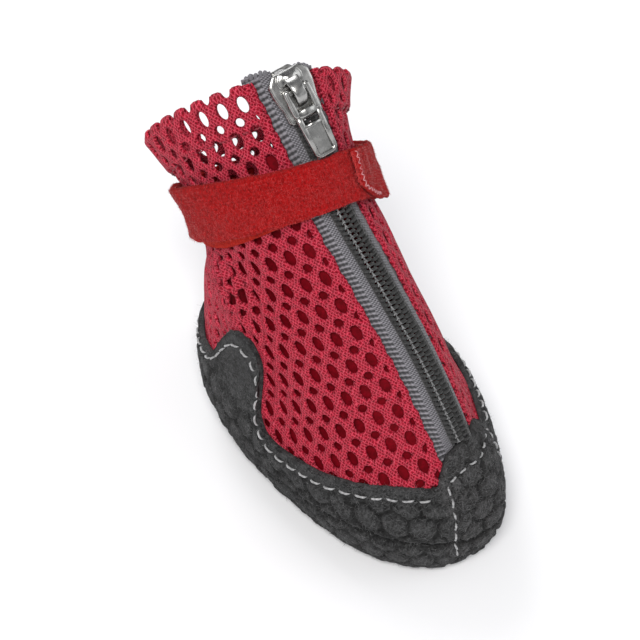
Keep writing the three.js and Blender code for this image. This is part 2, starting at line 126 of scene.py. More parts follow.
def zipTurn(level, side):
    ring = ringAt(level)
    share = np.clip(np.abs(side + boot["zipShift"]) / ring[4], 0, 0.999)
    return np.sign(side + boot["zipShift"]) * np.degrees(np.arcsin(share ** (ring[7] / 2)))


def zipPoint(level, side, out=0.0):
    return bodyPoint(level, zipTurn(level, side), out)


def smoothStep(low, high, value):
    share = np.clip((value - low) / (high - low), 0, 1)
    return share * share * (3 - 2 * share)


def waves(points, size, seed, count=7):
    rng = np.random.default_rng(seed)
    total = np.zeros(points.shape[:-1])
    for _ in range(count):
        direction = unit(rng.normal(size=3)) * (2 * math.pi / size) * rng.uniform(0.7, 1.4)
        total = total + np.sin(points @ direction + rng.uniform(0, 6.28))
    return total / math.sqrt(count)


def smoothTable(table, column, value, spread=1.2):
    fine = np.arange(table[0, 0] - 8, table[-1, 0] + 8, 0.25)
    held = np.interp(np.abs(fine) if table[0, 0] == 0 else fine, table[:, 0], table[:, column])
    kernel = np.exp(-0.5 * (np.arange(-24, 25) * 0.25 / spread) ** 2)
    held = np.convolve(np.pad(held, 24, mode="edge"), kernel / kernel.sum(), mode="valid")
    return np.interp(value, fine, held)


# Shader helpers: a wire is a socket that can be used in sums, and a paint makes one material.
class Wire:
    def __init__(self, paint, socket):
        self.paint, self.socket = paint, socket

    def maths(self, operation, first, second):
        return self.paint.add("ShaderNodeMath", {"operation": operation}, {0: first, 1: second})

    def __add__(self, other):
        return self.maths("ADD", self, other)

    def __sub__(self, other):
        return self.maths("SUBTRACT", self, other)

    def __rsub__(self, other):
        return self.maths("SUBTRACT", other, self)

    def __mul__(self, other):
        return self.maths("MULTIPLY", self, other)

    def sine(self):
        return self.maths("SINE", self, 0.0)

    __radd__, __rmul__ = __add__, __mul__


class Paint:
    def __init__(self, name, constants):
        self.material = bpy.data.materials.new(name)
        self.material.use_nodes = True
        self.tree = self.material.node_tree
        self.tree.nodes.clear()
        self.shader = self.tree.nodes.new("ShaderNodeBsdfPrincipled")
        for socket, value in constants.items():
            self.shader.inputs[socket].default_value = value
        output = self.tree.nodes.new("ShaderNodeOutputMaterial")
        self.tree.links.new(self.shader.outputs[0], output.inputs[0])

    def add(self, kind, settings=None, sockets=None, pick=0):
        node = self.tree.nodes.new(kind)
        for key, value in (settings or {}).items():
            if key == "stops":
                ramp = node.color_ramp
                while len(ramp.elements) < len(value):
                    ramp.elements.new(0.5)
                for element, (place, colour) in zip(ramp.elements, value):
                    element.position, element.color = place, colour
            else:
                setattr(node, key, value)
        for key, value in (sockets or {}).items():
            if isinstance(value, Wire):
                self.tree.links.new(value.socket, node.inputs[key])
            else:
                node.inputs[key].default_value = value
        return Wire(self, node.outputs[pick])

    def give(self, socket, wire):
        self.tree.links.new(wire.socket, self.shader.inputs[socket])

    def place(self, flat=False):
        return self.add("ShaderNodeTexCoord", pick=2 if flat else 3)

    def noise(self, place, scale, detail=3.0, rough=0.6):
        sockets = {"Vector": place, "Scale": scale, "Detail": detail, "Roughness": rough}
        return self.add("ShaderNodeTexNoise", {}, sockets)

    # The shade attribute is painted light: painted shade on the felt, painted highlight on the knit's hole rims.
    def shade(self):
        return self.add("ShaderNodeAttribute", {"attribute_name": "shade"}, pick=2)

    def acrossAlong(self, flat):
        parts = self.add("ShaderNodeSeparateXYZ", {}, {0: flat})
        return parts, Wire(self, parts.socket.node.outputs[1])

    def ramp(self, value, low, high, lowColour, highColour):
        return self.add("ShaderNodeValToRGB", {"stops": [(low, lowColour), (high, highColour)]}, {0: value})

    def band(self, value, low, high):
        return self.add("ShaderNodeMapRange", {"interpolation_type": "SMOOTHSTEP"}, {0: value, 1: low, 2: high})

    def blend(self, mask, first, second):
        return self.add("ShaderNodeMix", {"data_type": "RGBA"}, {0: mask, 6: first, 7: second}, pick=2)

    def bump(self, height, distance, strength=1.0):
        sockets = {"Height": height, "Distance": distance, "Strength": strength}
        self.give("Normal", self.add("ShaderNodeBump", {}, sockets))


def grey(value):
    return (value, value, value * 1.02, 1)


def feltPaint(name, dark, light, warm=1.0):
    paint = Paint(name, {"Roughness": 0.95, "Sheen Weight": 0.06, "Sheen Roughness": 0.5, "Specular IOR Level": 0.12})
    place = paint.place()
    fibres = paint.noise(place, 1900.0, 5.0, 0.75)
    tangle = paint.noise(place, 520.0, 4.0, 0.65)
    cloud = paint.noise(place, 90.0, 2.0, 0.5)
    darkColour, lightColour = (dark * warm, dark, dark * 1.01, 1), (light * warm, light, light * 1.02, 1)
    base = paint.ramp(fibres * 0.6 + tangle * 0.4, 0.41, 0.62, darkColour, lightColour)
    base = paint.blend(paint.band(cloud, 0.35, 0.75) * 0.3, base, darkColour)
    # Painted shade: where the shade attribute is set, in the grooves between the pads and along the crease, the felt
    # turns darker.
    grooveShadeColour = (dark * 0.25, dark * 0.25, dark * 0.25, 1)
    paint.give("Base Color", paint.blend(paint.shade() * 0.85, base, grooveShadeColour))
    paint.bump(fibres * 0.8 + tangle * 1.2, 0.0005, 1.0)
    return paint.material


def knitPaint(name, deep, bright, pink):
    paint = Paint(name, {"Roughness": 0.6, "Specular IOR Level": 0.22})
    flat = paint.place(flat=True)
    sway = paint.noise(flat, 0.55, 2.0, 0.5) - 0.5
    across, along = paint.acrossAlong(flat)
    across, along = across + sway * 1.4, along + sway
    # loops of yarn: two slanting sets of strands, broken by noise
    rising, falling = (across * 7.6 + along * 5.6).sine(), (across * 7.6 - along * 5.6).sine()
    loops = rising.maths("MAXIMUM", rising, falling)
    hair = paint.noise(flat, 6.5, 3.0, 0.6)
    sparkle = paint.noise(flat, 13.0, 2.0, 0.7)
    height = loops * 0.34 + hair * 0.9 + sparkle * 0.3
    tone = paint.noise(flat, 1.1, 2.0, 0.6)
    base = paint.blend(paint.band(tone, 0.3, 0.7), deep, bright)
    # Painted shade: the low parts of the yarn relief are darkened.
    between = (deep[0] * 0.42, 0.0, deep[2] * 0.4, 1)
    shadowed = paint.blend(paint.band(height, 0.58, 0.28) * 0.9, base, between)
    # Painted highlight: glints on the tops of the yarn relief and sparkles on the hole rims, blended towards the pink
    # colour.
    glint = paint.band(height, 0.8, 0.98) * 0.55 + paint.shade() * paint.band(sparkle, 0.55, 0.66) * 0.5
    paint.give("Base Color", paint.blend(glint, shadowed, pink))
    paint.bump(height, 0.00026, 1.0)
    return paint.material


# A dark red sheet's paint: the knit's own red, darkened as painted shade of the boot's inside seen through the holes.
def insideShadePaint(name, deep, bright):
    paint = Paint(name, {"Roughness": 0.8, "Specular IOR Level": 0.1})
    fine = paint.noise(paint.place(), 900.0)
    paint.give("Base Color", paint.ramp(fine, 0.35, 0.7, deep, bright))
    paint.bump(fine, 0.0002, 0.5)
    return paint.material


def weavePaint(name, dark, light, barShare=1.0):
    paint = Paint(name, {"Roughness": 0.8, "Sheen Weight": 0.15, "Specular IOR Level": 0.3})
    flat = paint.place(flat=True)
    across, along = paint.acrossAlong(flat)
    weft = (along * 5.03 + across * 1.1 + 0.8).sine()
    fine = (along * 9.0 - across * 2.0).sine()
    warp = (across * 8.0).sine()
    hair = paint.noise(flat, 5.0, 3.0, 0.6)
    outerBand = paint.band(across, 4.2, 4.7)
    bars = weft * 0.36 * barShare + warp * 0.1
    height = bars * outerBand + fine * warp * (1 - outerBand) * 0.35 + hair * 0.8
    paint.give("Base Color", paint.ramp(height, 0.12, 0.78, dark, light))
    paint.bump(height, 0.00018, 0.9)
    return paint.material


def brushedPaint(name, dark, light, stretch):
    paint = Paint(name, {"Roughness": 0.95, "Sheen Weight": 0.03, "Sheen Roughness": 0.45, "Specular IOR Level": 0.1})
    place = paint.place()
    along = paint.add("ShaderNodeMapping", {}, {0: place, 3: stretch})
    pile = paint.noise(along, 2600.0, 4.0, 0.8)
    curls = paint.noise(place, 1300.0, 3.0, 0.7)
    paint.give("Base Color", paint.ramp(pile * 0.6 + curls * 0.4, 0.4, 0.6, dark, light))
    paint.bump(pile * 1.1 + curls * 0.9, 0.0005, 1.0)
    return paint.material


def metalPaint(name, colour, roughness):
    paint = Paint(name, {"Metallic": 1.0})
    place = paint.place()
    smear = paint.noise(place, 260.0, 3.0, 0.6)
    fine = paint.noise(place, 2200.0, 2.0, 0.5)
    dull = tuple(part * 0.5 for part in colour[:3]) + (1,)
    paint.give("Base Color", paint.ramp(smear, 0.3, 0.75, dull, colour))
    paint.give("Roughness", smear * 0.22 + roughness)
    paint.bump(fine * 0.6 + smear * 0.6, 0.00006, 0.5)
    return paint.material


def threadPaint(name, dark, light):
    paint = Paint(name, {"Roughness": 0.7, "Sheen Weight": 0.2})
    fine = paint.noise(paint.place(), 1600.0)
    paint.give("Base Color", paint.ramp(fine, 0.35, 0.65, dark, light))
    paint.bump(fine, 0.00015, 0.7)
    return paint.material


def floorPaint(name, shade):
    paint = Paint(name, {"Roughness": 0.6, "Specular IOR Level": 0.2})
    soft = paint.noise(paint.place(), 3.0, 2.0, 0.4)
    paint.give("Base Color", paint.ramp(soft, 0.2, 0.8, grey(shade * 0.985), grey(shade)))
    return paint.material


finish = {
    "feltSole": feltPaint("felt of the sole", 0.010, 0.078),
    "feltToe": feltPaint("felt of the toe", 0.011, 0.082, 1.02),
    "fibre": threadPaint("loose felt fibres", grey(0.06), grey(0.17)),
    "thread": threadPaint("grey thread", grey(0.2), grey(0.45)),
    # The knit's third colour is its painted highlight.
    "knit": knitPaint("crimson knit", (0.24, 0.0, 0.010, 1), (0.50, 0.001, 0.026, 1), (0.95, 0.15, 0.22, 1)),
    "insideShadeSheet": insideShadePaint("dark red lining", (0.11, 0.0, 0.003, 1), (0.19, 0.0, 0.006, 1)),
    "tape": weavePaint("grey tape weave", (0.04, 0.04, 0.044, 1), (0.3, 0.29, 0.32, 1)),
    "tapeFine": weavePaint("dark fine tape weave", (0.04, 0.04, 0.044, 1), (0.25, 0.245, 0.265, 1), 0.25),
    "coil": threadPaint("black coil", grey(0.005), grey(0.028)),
    "chain": threadPaint("chain stitch", grey(0.06), grey(0.24)),
    "chainDark": threadPaint("dark chain stitch", grey(0.02), grey(0.09)),
    "strap": brushedPaint("red brushed strap", (0.20, 0.0015, 0.002, 1), (0.46, 0.008, 0.009, 1), (1.0, 0.6, 0.45)),
    "strapUnder": brushedPaint("bright red strap", (0.34, 0.006, 0.003, 1), (0.6, 0.025, 0.012, 1), (0.6, 1.0, 0.6)),
    "pile": threadPaint("red pile", (0.27, 0.003, 0.004, 1), (0.60, 0.026, 0.026, 1)),
    "zigzag": threadPaint("pale pink thread", (0.4, 0.1, 0.13, 1), (0.7, 0.34, 0.36, 1)),
    "seamThread": threadPaint("dark crimson thread", (0.12, 0.002, 0.01, 1), (0.3, 0.01, 0.03, 1)),
    "insole": feltPaint("insole felt", 0.03, 0.14),
    "metal": metalPaint("zip metal", (0.5, 0.495, 0.48, 1), 0.14),
    "floor": floorPaint("pale floor", 0.86),
}
print("materials ready")


def flipped(faces):
    return [tuple(reversed(face)) for face in faces]


# Points in millimetres. The flat layer and the shade are what the paints read at each point; the shade is painted shade
# on the felt and painted highlight on the knit.
def makePiece(name, points, faces, paint, body="boot", flat=None, slot=None, shade=None, flip=False):
    data = bpy.data.meshes.new(name)
    points = np.asarray(points, float).reshape(-1, 3) * 0.001
    data.from_pydata(points.tolist(), [], [tuple(face) for face in (flipped(faces) if flip else faces)])
    data.materials.append(finish[paint])
    if flat is not None:
        layer = data.uv_layers.new(name="flat")
        corner = np.empty(len(data.loops), dtype=np.int32)
        data.loops.foreach_get("vertex_index", corner)
        layer.data.foreach_set("uv", np.asarray(flat, float)[corner].astype(np.float32).ravel())
    if shade is not None:
        data.attributes.new("shade", "FLOAT", "POINT").data.foreach_set("value", np.asarray(shade, np.float32).ravel())
    data.validate()
    data.shade_smooth()
    piece = bpy.data.objects.new(name, data)
    scene.collection.objects.link(piece)
    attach(piece, body)
    return piece


def gridFaces(rows, columns, around=False, first=0):
    row, column = np.meshgrid(np.arange(rows - 1), np.arange(columns if around else columns - 1), indexing="ij")
    here, beside = row * columns + column, row * columns + (column + 1) % columns
    return (np.stack([here, beside, beside + columns, here + columns], -1).reshape(-1, 4) + first).tolist()


# A closed tube: the grid goes round, and each end is one face.
def tubeFaces(rows, around):
    ends = [tuple(range(around - 1, -1, -1)), tuple(range((rows - 1) * around, rows * around))]
    return gridFaces(rows, around, True) + ends


# A plate: a front grid, a back grid and the border between them.
def plateFaces(rows, columns):
    total = rows * columns
    border = list(range(columns)) + [row * columns + columns - 1 for row in range(1, rows)]
    border += list(range(total - 2, total - columns - 1, -1)) + [row * columns for row in range(rows - 2, 0, -1)]
    faces = gridFaces(rows, columns) + flipped(gridFaces(rows, columns, first=total))
    return faces + [(then, here, here + total, then + total) for here, then in zip(border, border[1:] + border[:1])]


# A profile carried along a line: its last row meets its first, and each end is one face.
def stripFaces(rows, columns):
    last = (rows - 1) * columns
    start = tuple(row * columns for row in range(rows))
    faces = gridFaces(rows, columns) + [(last + k, last + k + 1, k + 1, k) for k in range(columns - 1)]
    return faces + [start[::-1], tuple(index + columns - 1 for index in start)]


def joinParts(parts):
    points, faces, start = [], [], 0
    for partPoints, partFaces in parts:
        points.append(np.asarray(partPoints, float))
        faces.extend([tuple(index + start for index in face) for face in partFaces])
        start += len(partPoints)
    return np.concatenate(points), faces


def gridNormals(grid, around=False):
    side = np.roll(grid, -1, 1) - np.roll(grid, 1, 1) if around else np.gradient(grid, axis=1)
    return unit(np.cross(side, np.gradient(grid, axis=0)))


def threadTube(path, radius, sides=6, twist=0.0, ends=True):
    path = np.asarray(path, float)
    tangent = unit(np.gradient(path, axis=0))
    up = unit(np.cross(tangent, np.array([0.31, 0.87, 0.38])))
    side = np.cross(tangent, up)
    angle = np.arange(sides) * 2 * math.pi / sides
    run = np.linspace(0, 1, len(path))
    taper = np.sqrt(np.clip(1 - np.abs(2 * run - 1) ** 6, 0.02, 1)) if ends else np.ones(len(path))
    reach = (radius * taper)[:, None] * (1 + 0.16 * np.cos(2 * angle[None] + twist * run[:, None] * 6.28))
    ring = np.cos(angle)[None, :, None] * up[:, None] + np.sin(angle)[None, :, None] * side[:, None]
    points = path[:, None] + reach[..., None] * ring
    return points.reshape(-1, 3), flipped(tubeFaces(len(path), sides))


def runLength(points):
    return np.concatenate([[0], np.cumsum(np.linalg.norm(np.diff(points, axis=0), axis=1))])


def pickAlong(marks, run, points):
    return np.stack([np.interp(marks, run, points[:, axis]) for axis in range(3)], -1)


def evenPath(points, step):
    points = np.asarray(points, float)
    run = runLength(points)
    return pickAlong(np.linspace(0, run[-1], max(int(round(run[-1] / step)) + 1, 2)), run, points)


def stitchRun(path, normal, settings):
    parts = []
    run = runLength(path)
    rng = np.random.default_rng(settings["seed"])
    begin = settings["gap"]
    while begin + settings["length"] < run[-1]:
        length = settings["length"] * rng.uniform(0.85, 1.12)
        marks = np.linspace(begin, begin + length, 9)
        middle, out = pickAlong(marks, run, path), unit(pickAlong(marks, run, normal))
        fromMiddle = np.abs(2 * np.linspace(0, 1, 9) - 1)
        lift = settings["proud"] * (1 - fromMiddle ** 3.0) - settings["sink"] * fromMiddle ** 5
        aside = np.cross(out, unit(np.gradient(middle, axis=0)))
        wander = aside * rng.uniform(-0.16, 0.16) * (np.linspace(0, 1, 9) - 0.5)[:, None] * 2
        parts.append(threadTube(middle + out * lift[:, None] + wander, settings["radius"], 7, 2.0))
        begin += length + settings["gap"] * rng.uniform(0.8, 1.25)
    return parts


def fuzz(name, points, normals, paint, settings):
    rng = np.random.default_rng(settings["seed"])
    points, normals = points.reshape(-1, 3), normals.reshape(-1, 3)
    pick = rng.integers(0, len(points), settings["count"])
    roots, out = points[pick], normals[pick]
    drift = rng.normal(size=roots.shape) + settings["comb"]
    drift = unit(drift - out * (drift * out).sum(-1, keepdims=True))
    curl = unit(np.cross(out, drift)) * rng.uniform(-1, 1, (len(roots), 1))
    length = settings["length"] * rng.uniform(0.5, 1.3, (len(roots), 1))
    stand = settings["stand"] * rng.uniform(0.3, 1.3, (len(roots), 1))
    steps = []
    for share in (0, 0.34, 0.67, 1.0):
        along = drift * length * share + curl * length * 0.5 * share ** 2
        steps.append(roots + along + out * (stand * math.sin(share * 2.6) - 0.08))
    width = unit(np.cross(drift, out)) * settings["width"] * 0.5
    strands = []
    for index, middle in enumerate(steps):
        thin = 1 - 0.75 * index / 3
        strands += [middle - width * thin, middle + width * thin]
    block = np.stack(strands, 1).reshape(-1, 3)
    starts = [first + 2 * k for first in range(0, len(block), 8) for k in range(3)]
    return makePiece(name, block, [(k, k + 1, k + 3, k + 2) for k in starts], paint)


def padRelief(x, y, pitch, jitter, edge=1.15):
    rowStep = pitch * 0.866
    nearest = np.full(x.shape, 1e9)
    second = np.full(x.shape, 1e9)
    for rowShift in (-1, 0, 1):
        row = np.round(y / rowStep) + rowShift
        offset = 0.5 * np.mod(row, 2)
        for columnShift in (-1, 0, 1):
            column = np.round(x / pitch - offset) + columnShift
            chance = np.mod(np.sin(row * 12.9898 + column * 78.233) * 43758.5453, 1)
            other = np.mod(np.sin(row * 39.346 + column * 11.135) * 24634.6345, 1)
            centreX = (column + offset) * pitch + (chance - 0.5) * jitter
            centreY = row * rowStep + (other - 0.5) * jitter
            away = np.hypot(x - centreX, y - centreY)
            second = np.minimum(second, np.maximum(nearest, away))
            nearest = np.minimum(nearest, away)
    return smoothStep(0.1, edge, second - nearest) * smoothStep(pitch * 0.60, pitch * 0.38, nearest)


print("felt")
sole = {
    "columns": 400,
    "bottomRows": 44,
    "rimRows": 9,
    "wallRows": 46,
    "tuck": 3.2,
    "padPitch": 6.6,
    "padHeight": 0.85,
    "creaseDepth": 1.15,
    "capTurn": 22.5,
    "stitchIn": 2.25,
}


def feltTurn(plain, share):
    end = smoothTable(feltEdge, 1, plain)
    return plain + (end - plain) * share ** 3


def creaseLevel(plain):
    return np.interp(plain, [0, 48, 56, 65, 85, 120, 180], [1.14, 1.14, 1.14, 1.12, 1.0, 0.7, 0.62])


turn = np.linspace(-180, 180, sole["columns"], endpoint=False)
plain, side = np.abs(turn), np.where(turn < 0, -1.0, 1.0)
top = smoothTable(feltEdge, 2, plain)
underCap = smoothStep(sole["capTurn"] + 2, sole["capTurn"], plain)
wallShares = np.linspace(0, 1, sole["wallRows"] + 1)[1:]


# Rows from the middle of the bottom, round the rim and up the wall.
def soleRows():
    spring = 1.1 * np.maximum(0, np.cos(np.radians(turn))) ** 4
    tucked, near, rim = (bodyPoint(0, turn, boot["feltOut"] - sole["tuck"] * share) for share in (1, 0.28, 0))
    tucked[:, 2], near[:, 2], rim[:, 2] = spring * 0.35, 0.62 + spring * 0.8, 2.4 + spring * 0.4
    rows = []
    for share in np.linspace(0.02, 1, sole["bottomRows"]) ** 0.8:
        rows.append(tucked * share)
        rows[-1][:, 2] = spring * 0.35 * share ** 6
    for share in np.linspace(0, 1, sole["rimRows"] + 1)[1:]:
        rows.append(tucked * (1 - share) ** 2 + near * 2 * share * (1 - share) + rim * share ** 2)
    for share in wallShares:
        out = boot["feltOut"] - 1.15 * underCap * smoothStep(0.35, 0.6, top * share)
        rows.append(bodyPoint(top * share, side * feltTurn(plain, share), out))
    return np.array(rows)


rows = soleRows()
kinds = np.repeat([0, 1, 2], [sole["bottomRows"], sole["rimRows"], sole["wallRows"]])
bottom, wall = kinds == 0, kinds == 2
levels = wallShares[:, None] * top[None]
pads = np.zeros(rows.shape[:2])
pads[bottom] = padRelief(rows[bottom][..., 0] + 1.1, rows[bottom][..., 1] + 2.0, sole["padPitch"], 0.7)
rim = bodyPoint(1.2, turn, boot["feltOut"])
arc = np.cumsum(np.linalg.norm(np.diff(rim, axis=0, append=rim[:1]), axis=1))
climb = np.cumsum(np.linalg.norm(np.diff(rows[wall], axis=0, prepend=rows[wall][:1]), axis=-1), axis=0)
fromTop = climb[-1][None] - climb
levelHeight = np.linalg.norm(bodyPoint(1.4, turn) - bodyPoint(0.6, turn), axis=1) / 0.8
creaseGap = (levels - creaseLevel(plain)[None]) * levelHeight[None]
lobe = smoothStep(93, 100, plain)[None] * smoothStep(126, 119, plain)[None] * smoothStep(2.0, 2.5, levels)
padded = smoothStep(2.6, 3.9, fromTop) * smoothStep(0.5, 1.6, np.abs(creaseGap)) * (1 - lobe)
pads[wall] = padRelief(np.broadcast_to(arc, climb.shape), climb + 1.4, sole["padPitch"], 0.9) * padded
relief = sole["padHeight"] * (pads - 0.55)
relief[kinds == 1] = 0
bottomEnd = smoothStep(1.0, 0.9, np.linspace(0, 1, sole["bottomRows"]))
relief[bottom] = -sole["padHeight"] * (1 - pads[bottom]) * bottomEnd[:, None]
stitchGroove = np.exp(-((fromTop - sole["stitchIn"]) / 0.5) ** 2) * 0.35
relief[wall] += -0.28 * stitchGroove - sole["creaseDepth"] * np.exp(-(creaseGap / 0.55) ** 2)
relief[wall] += 0.22 * smoothStep(0.6, 1.6, creaseGap) * smoothStep(4.0, 1.6, creaseGap)
relief += 0.09 * waves(rows, 9.0, 3) * np.where(bottom, 0.0, 1.0)[:, None]
relief += 0.08 * waves(rows, 1.9, 4) * np.where(bottom, 0.3, 1.0)[:, None]
shaped = rows + gridNormals(rows, True) * relief[..., None]
shaped[..., 2] = np.maximum(shaped[..., 2], 0.0)
# fold the top edge inward: a cut edge about two millimetres thick
edge = []
for share, out in ((1.0, 1.9), (1.006, 1.5), (1.008, 1.0), (1.0, 0.4), (0.96, 0.3), (0.8, 0.3)):
    edgeTurn = side * feltTurn(plain, min(share, 1.0))
    edge.append(bodyPoint(top * share, edgeTurn, np.minimum(out, boot["feltOut"] - 1.2 * underCap)))
edge = np.array(edge)
edge[:3] += 0.1 * waves(edge[:3], 3.0, 8)[..., None]
shaped = np.concatenate([shaped, edge])
soleFaces = gridFaces(len(shaped), sole["columns"], True)
centre = len(shaped) * sole["columns"]
solePoints = np.concatenate([shaped.reshape(-1, 3), [[0, 0, 0.0]]])
soleFaces += [(centre, (column + 1) % sole["columns"], column) for column in range(sole["columns"])]
# Painted shade for the felt: dark in the grooves between the pads and along the crease.
solePaintedShade = np.zeros(shaped.shape[:2])
solePaintedShade[:len(rows)][bottom] = (1 - pads[bottom]) * 0.8
solePaintedShade[:len(rows)][wall] = (1 - pads[wall]) * padded * 0.85 + 1.15 * np.exp(-(creaseGap / 0.6) ** 2)
solePaintedShade = np.clip(np.append(solePaintedShade.ravel(), 0.0), 0, 1)
solePiece = makePiece("felt_sole_piece", solePoints, soleFaces, "feltSole", slot="felt_sole", shade=solePaintedShade)
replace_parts(solePiece, "outsole")
looseFibre = {"length": 1.5, "stand": 0.22, "width": 0.06, "comb": (0, 0, 0)}
furred = slice(sole["bottomRows"], -2)
soleFibres = fuzz("sole_fibres", shaped[furred], gridNormals(shaped, True)[furred], "fibre",
                  {**looseFibre, "seed": 11, "count": 9000})

toe = {
    "columns": 110,
    "rows": 90,
    "lowLevel": 0.5,
    "padPitch": 5.4,
    "padHeight": 0.8,
    "thickness": 0.4,
    "radius": 26.0,
    "halfWidth": 12.0,
}


def capPoint(across, up, out):
    across, up, out = np.broadcast_arrays(np.asarray(across, float), np.asarray(up, float), np.asarray(out, float))
    turnHere = across * np.interp(up, [0, 0.12, 0.3, 0.55, 0.8, 1.0], [21.5, 23.8, 25.6, 25.0, 24.4, 24.6])
    topHere = smoothTable(np.vstack([capTop, [40, 2.2]]), 1, np.abs(turnHere) * 1.03, 1.6)
    level = toe["lowLevel"] + (topHere - toe["lowLevel"]) * up
    return level, turnHere, bodyPoint(level, turnHere, out)


across, up = np.meshgrid(np.linspace(-1, 1, toe["columns"]), np.linspace(0, 1, toe["rows"]))
level, capTurns, cap = capPoint(across, up, boot["feltOut"])
capNormals = gridNormals(cap)
capArc = capTurns * 0.0175 * toe["radius"]
capClimb = np.cumsum(np.linalg.norm(np.diff(cap, axis=0, prepend=cap[:1]), axis=-1), axis=0)
capClimb = np.repeat(capClimb[:, toe["columns"] // 2][:, None], toe["columns"], 1)
fromEdge = np.minimum((1 - np.abs(across)) * toe["halfWidth"], capClimb[-1][None] - capClimb)
capPads = padRelief(capArc + 0.3, capClimb, toe["padPitch"], 0.7)
capPads *= smoothStep(2.3, 3.4, fromEdge) * smoothStep(0.8, 2.0, capClimb)
capRelief = toe["padHeight"] * (capPads - 0.6) + toe["thickness"] * smoothStep(0.0, 0.5, fromEdge)
capRelief += 0.09 * waves(cap, 7.0, 13) + 0.08 * waves(cap, 1.9, 14) - 0.25 * np.exp(-((fromEdge - 2.0) / 0.45) ** 2)
capCrease = np.exp(-((level - creaseLevel(np.abs(capTurns))) * 9.6 / 0.55) ** 2)
capRelief = (capRelief - sole["creaseDepth"] * capCrease) * smoothStep(0.0, 0.05, up)
capShaped = cap + capNormals * capRelief[..., None]
capInner = capPoint(across, up, boot["feltIn"])[2]
# Painted shade for the toe: dark in the grooves between the pads and along the crease.
capPaintedShade = np.clip((1 - capPads) * smoothStep(2.3, 3.4, fromEdge) * 0.85 + 1.1 * capCrease, 0, 1)
capPiece = makePiece("felt_toe_piece", np.stack([capShaped, capInner]), plateFaces(toe["rows"], toe["columns"]),
                     "feltToe", slot="felt_toe", shade=np.stack([capPaintedShade, 0 * capPaintedShade]))
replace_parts(capPiece, "toe_cap")
toeFibres = fuzz("toe_fibres", capShaped, capNormals, "fibre", {**looseFibre, "seed": 12, "count": 2600, "length": 1.4})

stitch = {"seed": 5, "length": 2.75, "gap": 1.0, "radius": 0.25, "proud": 0.24, "sink": 0.5}
parts = []
seamShare = 1 - sole["stitchIn"] / np.maximum(climb[-1], 6.0)
seamTurns = side * feltTurn(plain, seamShare)
seam = bodyPoint(top * seamShare, seamTurns, boot["feltOut"] - 0.05)
seamNormal = bodyNormal(top * seamShare, seamTurns)
for chosen in (turn < -sole["capTurn"] - 4, turn > sole["capTurn"] + 4):
    parts += stitchRun(seam[chosen], seamNormal[chosen], stitch)
# the toe piece's seam: up one side, over the top and down the other
seamAcross, seamUp = 1 - 2.0 / toe["halfWidth"], 0.905
overTop = np.linspace(-seamAcross, seamAcross, 40)
loopAcross = np.concatenate([np.full(40, -seamAcross), overTop, np.full(40, seamAcross)])
loopUp = np.concatenate([np.linspace(0.04, seamUp, 40), np.full(40, seamUp), np.linspace(seamUp, 0.04, 40)])
capLevel, capTurn, capSeam = capPoint(loopAcross, loopUp, boot["feltOut"] + 0.25)
parts += stitchRun(capSeam, bodyNormal(capLevel, capTurn), {**stitch, "seed": 6, "length": 2.1})
stitchPiece = makePiece("felt_stitches", *joinParts(parts), "thread")

print("mesh panels")
net = {
    "across": 4.85,
    "along": 6.9,
    "bigAcross": 1.12,
    "bigAlong": 1.86,
    "small": 0.98,
    "proud": 0.62,
    "sink": 0.32,
    "shoulder": 0.62,
    "hemDepth": 9.6,
    "gatherTurn": 104,
    "gatherLevel": 4.9,
    "gatherDepth": 0.75,
    "lean": 50.0,
    "firstColumn": 3.32,
}
panelUp = np.array([0, math.cos(math.radians(net["lean"])), math.sin(math.radians(net["lean"]))])


def panelTables():
    turns = np.concatenate([np.arange(0, 12, 0.5), np.arange(12, 181, 1.0)])
    levelsFine = np.linspace(0, topLevel, 241)
    tables = {}
    for sideSign in (-1, 1):
        points = bodyPoint(levelsFine[:, None], sideSign * turns[None])
        height = points @ panelUp
        topHeight = bodyPoint(topLevel, 0.0) @ panelUp
        height = height + (topHeight - height[-1])[None] * smoothStep(5.0, 8.0, levelsFine)[:, None]
        marks = np.arange(-26.0, topHeight + 0.01, 0.5)
        levelAt = np.stack([np.interp(marks, height[:, k], levelsFine) for k in range(len(turns))], 1)
        places = bodyPoint(levelAt, sideSign * turns[None])
        run = np.cumsum(np.linalg.norm(np.diff(places, axis=1, prepend=places[:, :1]), axis=-1), axis=1)
        start = np.array([np.interp(abs(zipTurn(levelAt[k, 0], 0.0)), turns, run[k]) for k in range(len(marks))])
        run = run + sideSign * start[:, None]
        tables[sideSign] = {"turns": turns, "marks": marks, "level": levelAt, "run": run, "top": topHeight}
    return tables


tables = panelTables()


def panelPlace(sideSign, acrossPanel, alongPanel):
    table = tables[sideSign]
    row = np.clip((alongPanel - table["marks"][0]) / 0.5, 0, len(table["marks"]) - 1.001)
    lower = np.floor(row).astype(int)
    share = row - lower
    turnHere, levelHere = np.zeros(len(row)), np.zeros(len(row))
    for start, weight in ((lower, 1 - share), (lower + 1, share)):
        for index in np.unique(start):
            chosen = start == index
            found = np.interp(acrossPanel[chosen], table["run"][index], table["turns"])
            turnHere[chosen] += weight[chosen] * found
            levelHere[chosen] += weight[chosen] * np.interp(found, table["turns"], table["level"][index])
    return levelHere, sideSign * turnHere


def panelReach(sideSign, held):
    return np.interp(held, tables[sideSign]["marks"], tables[sideSign]["run"][:, -1])


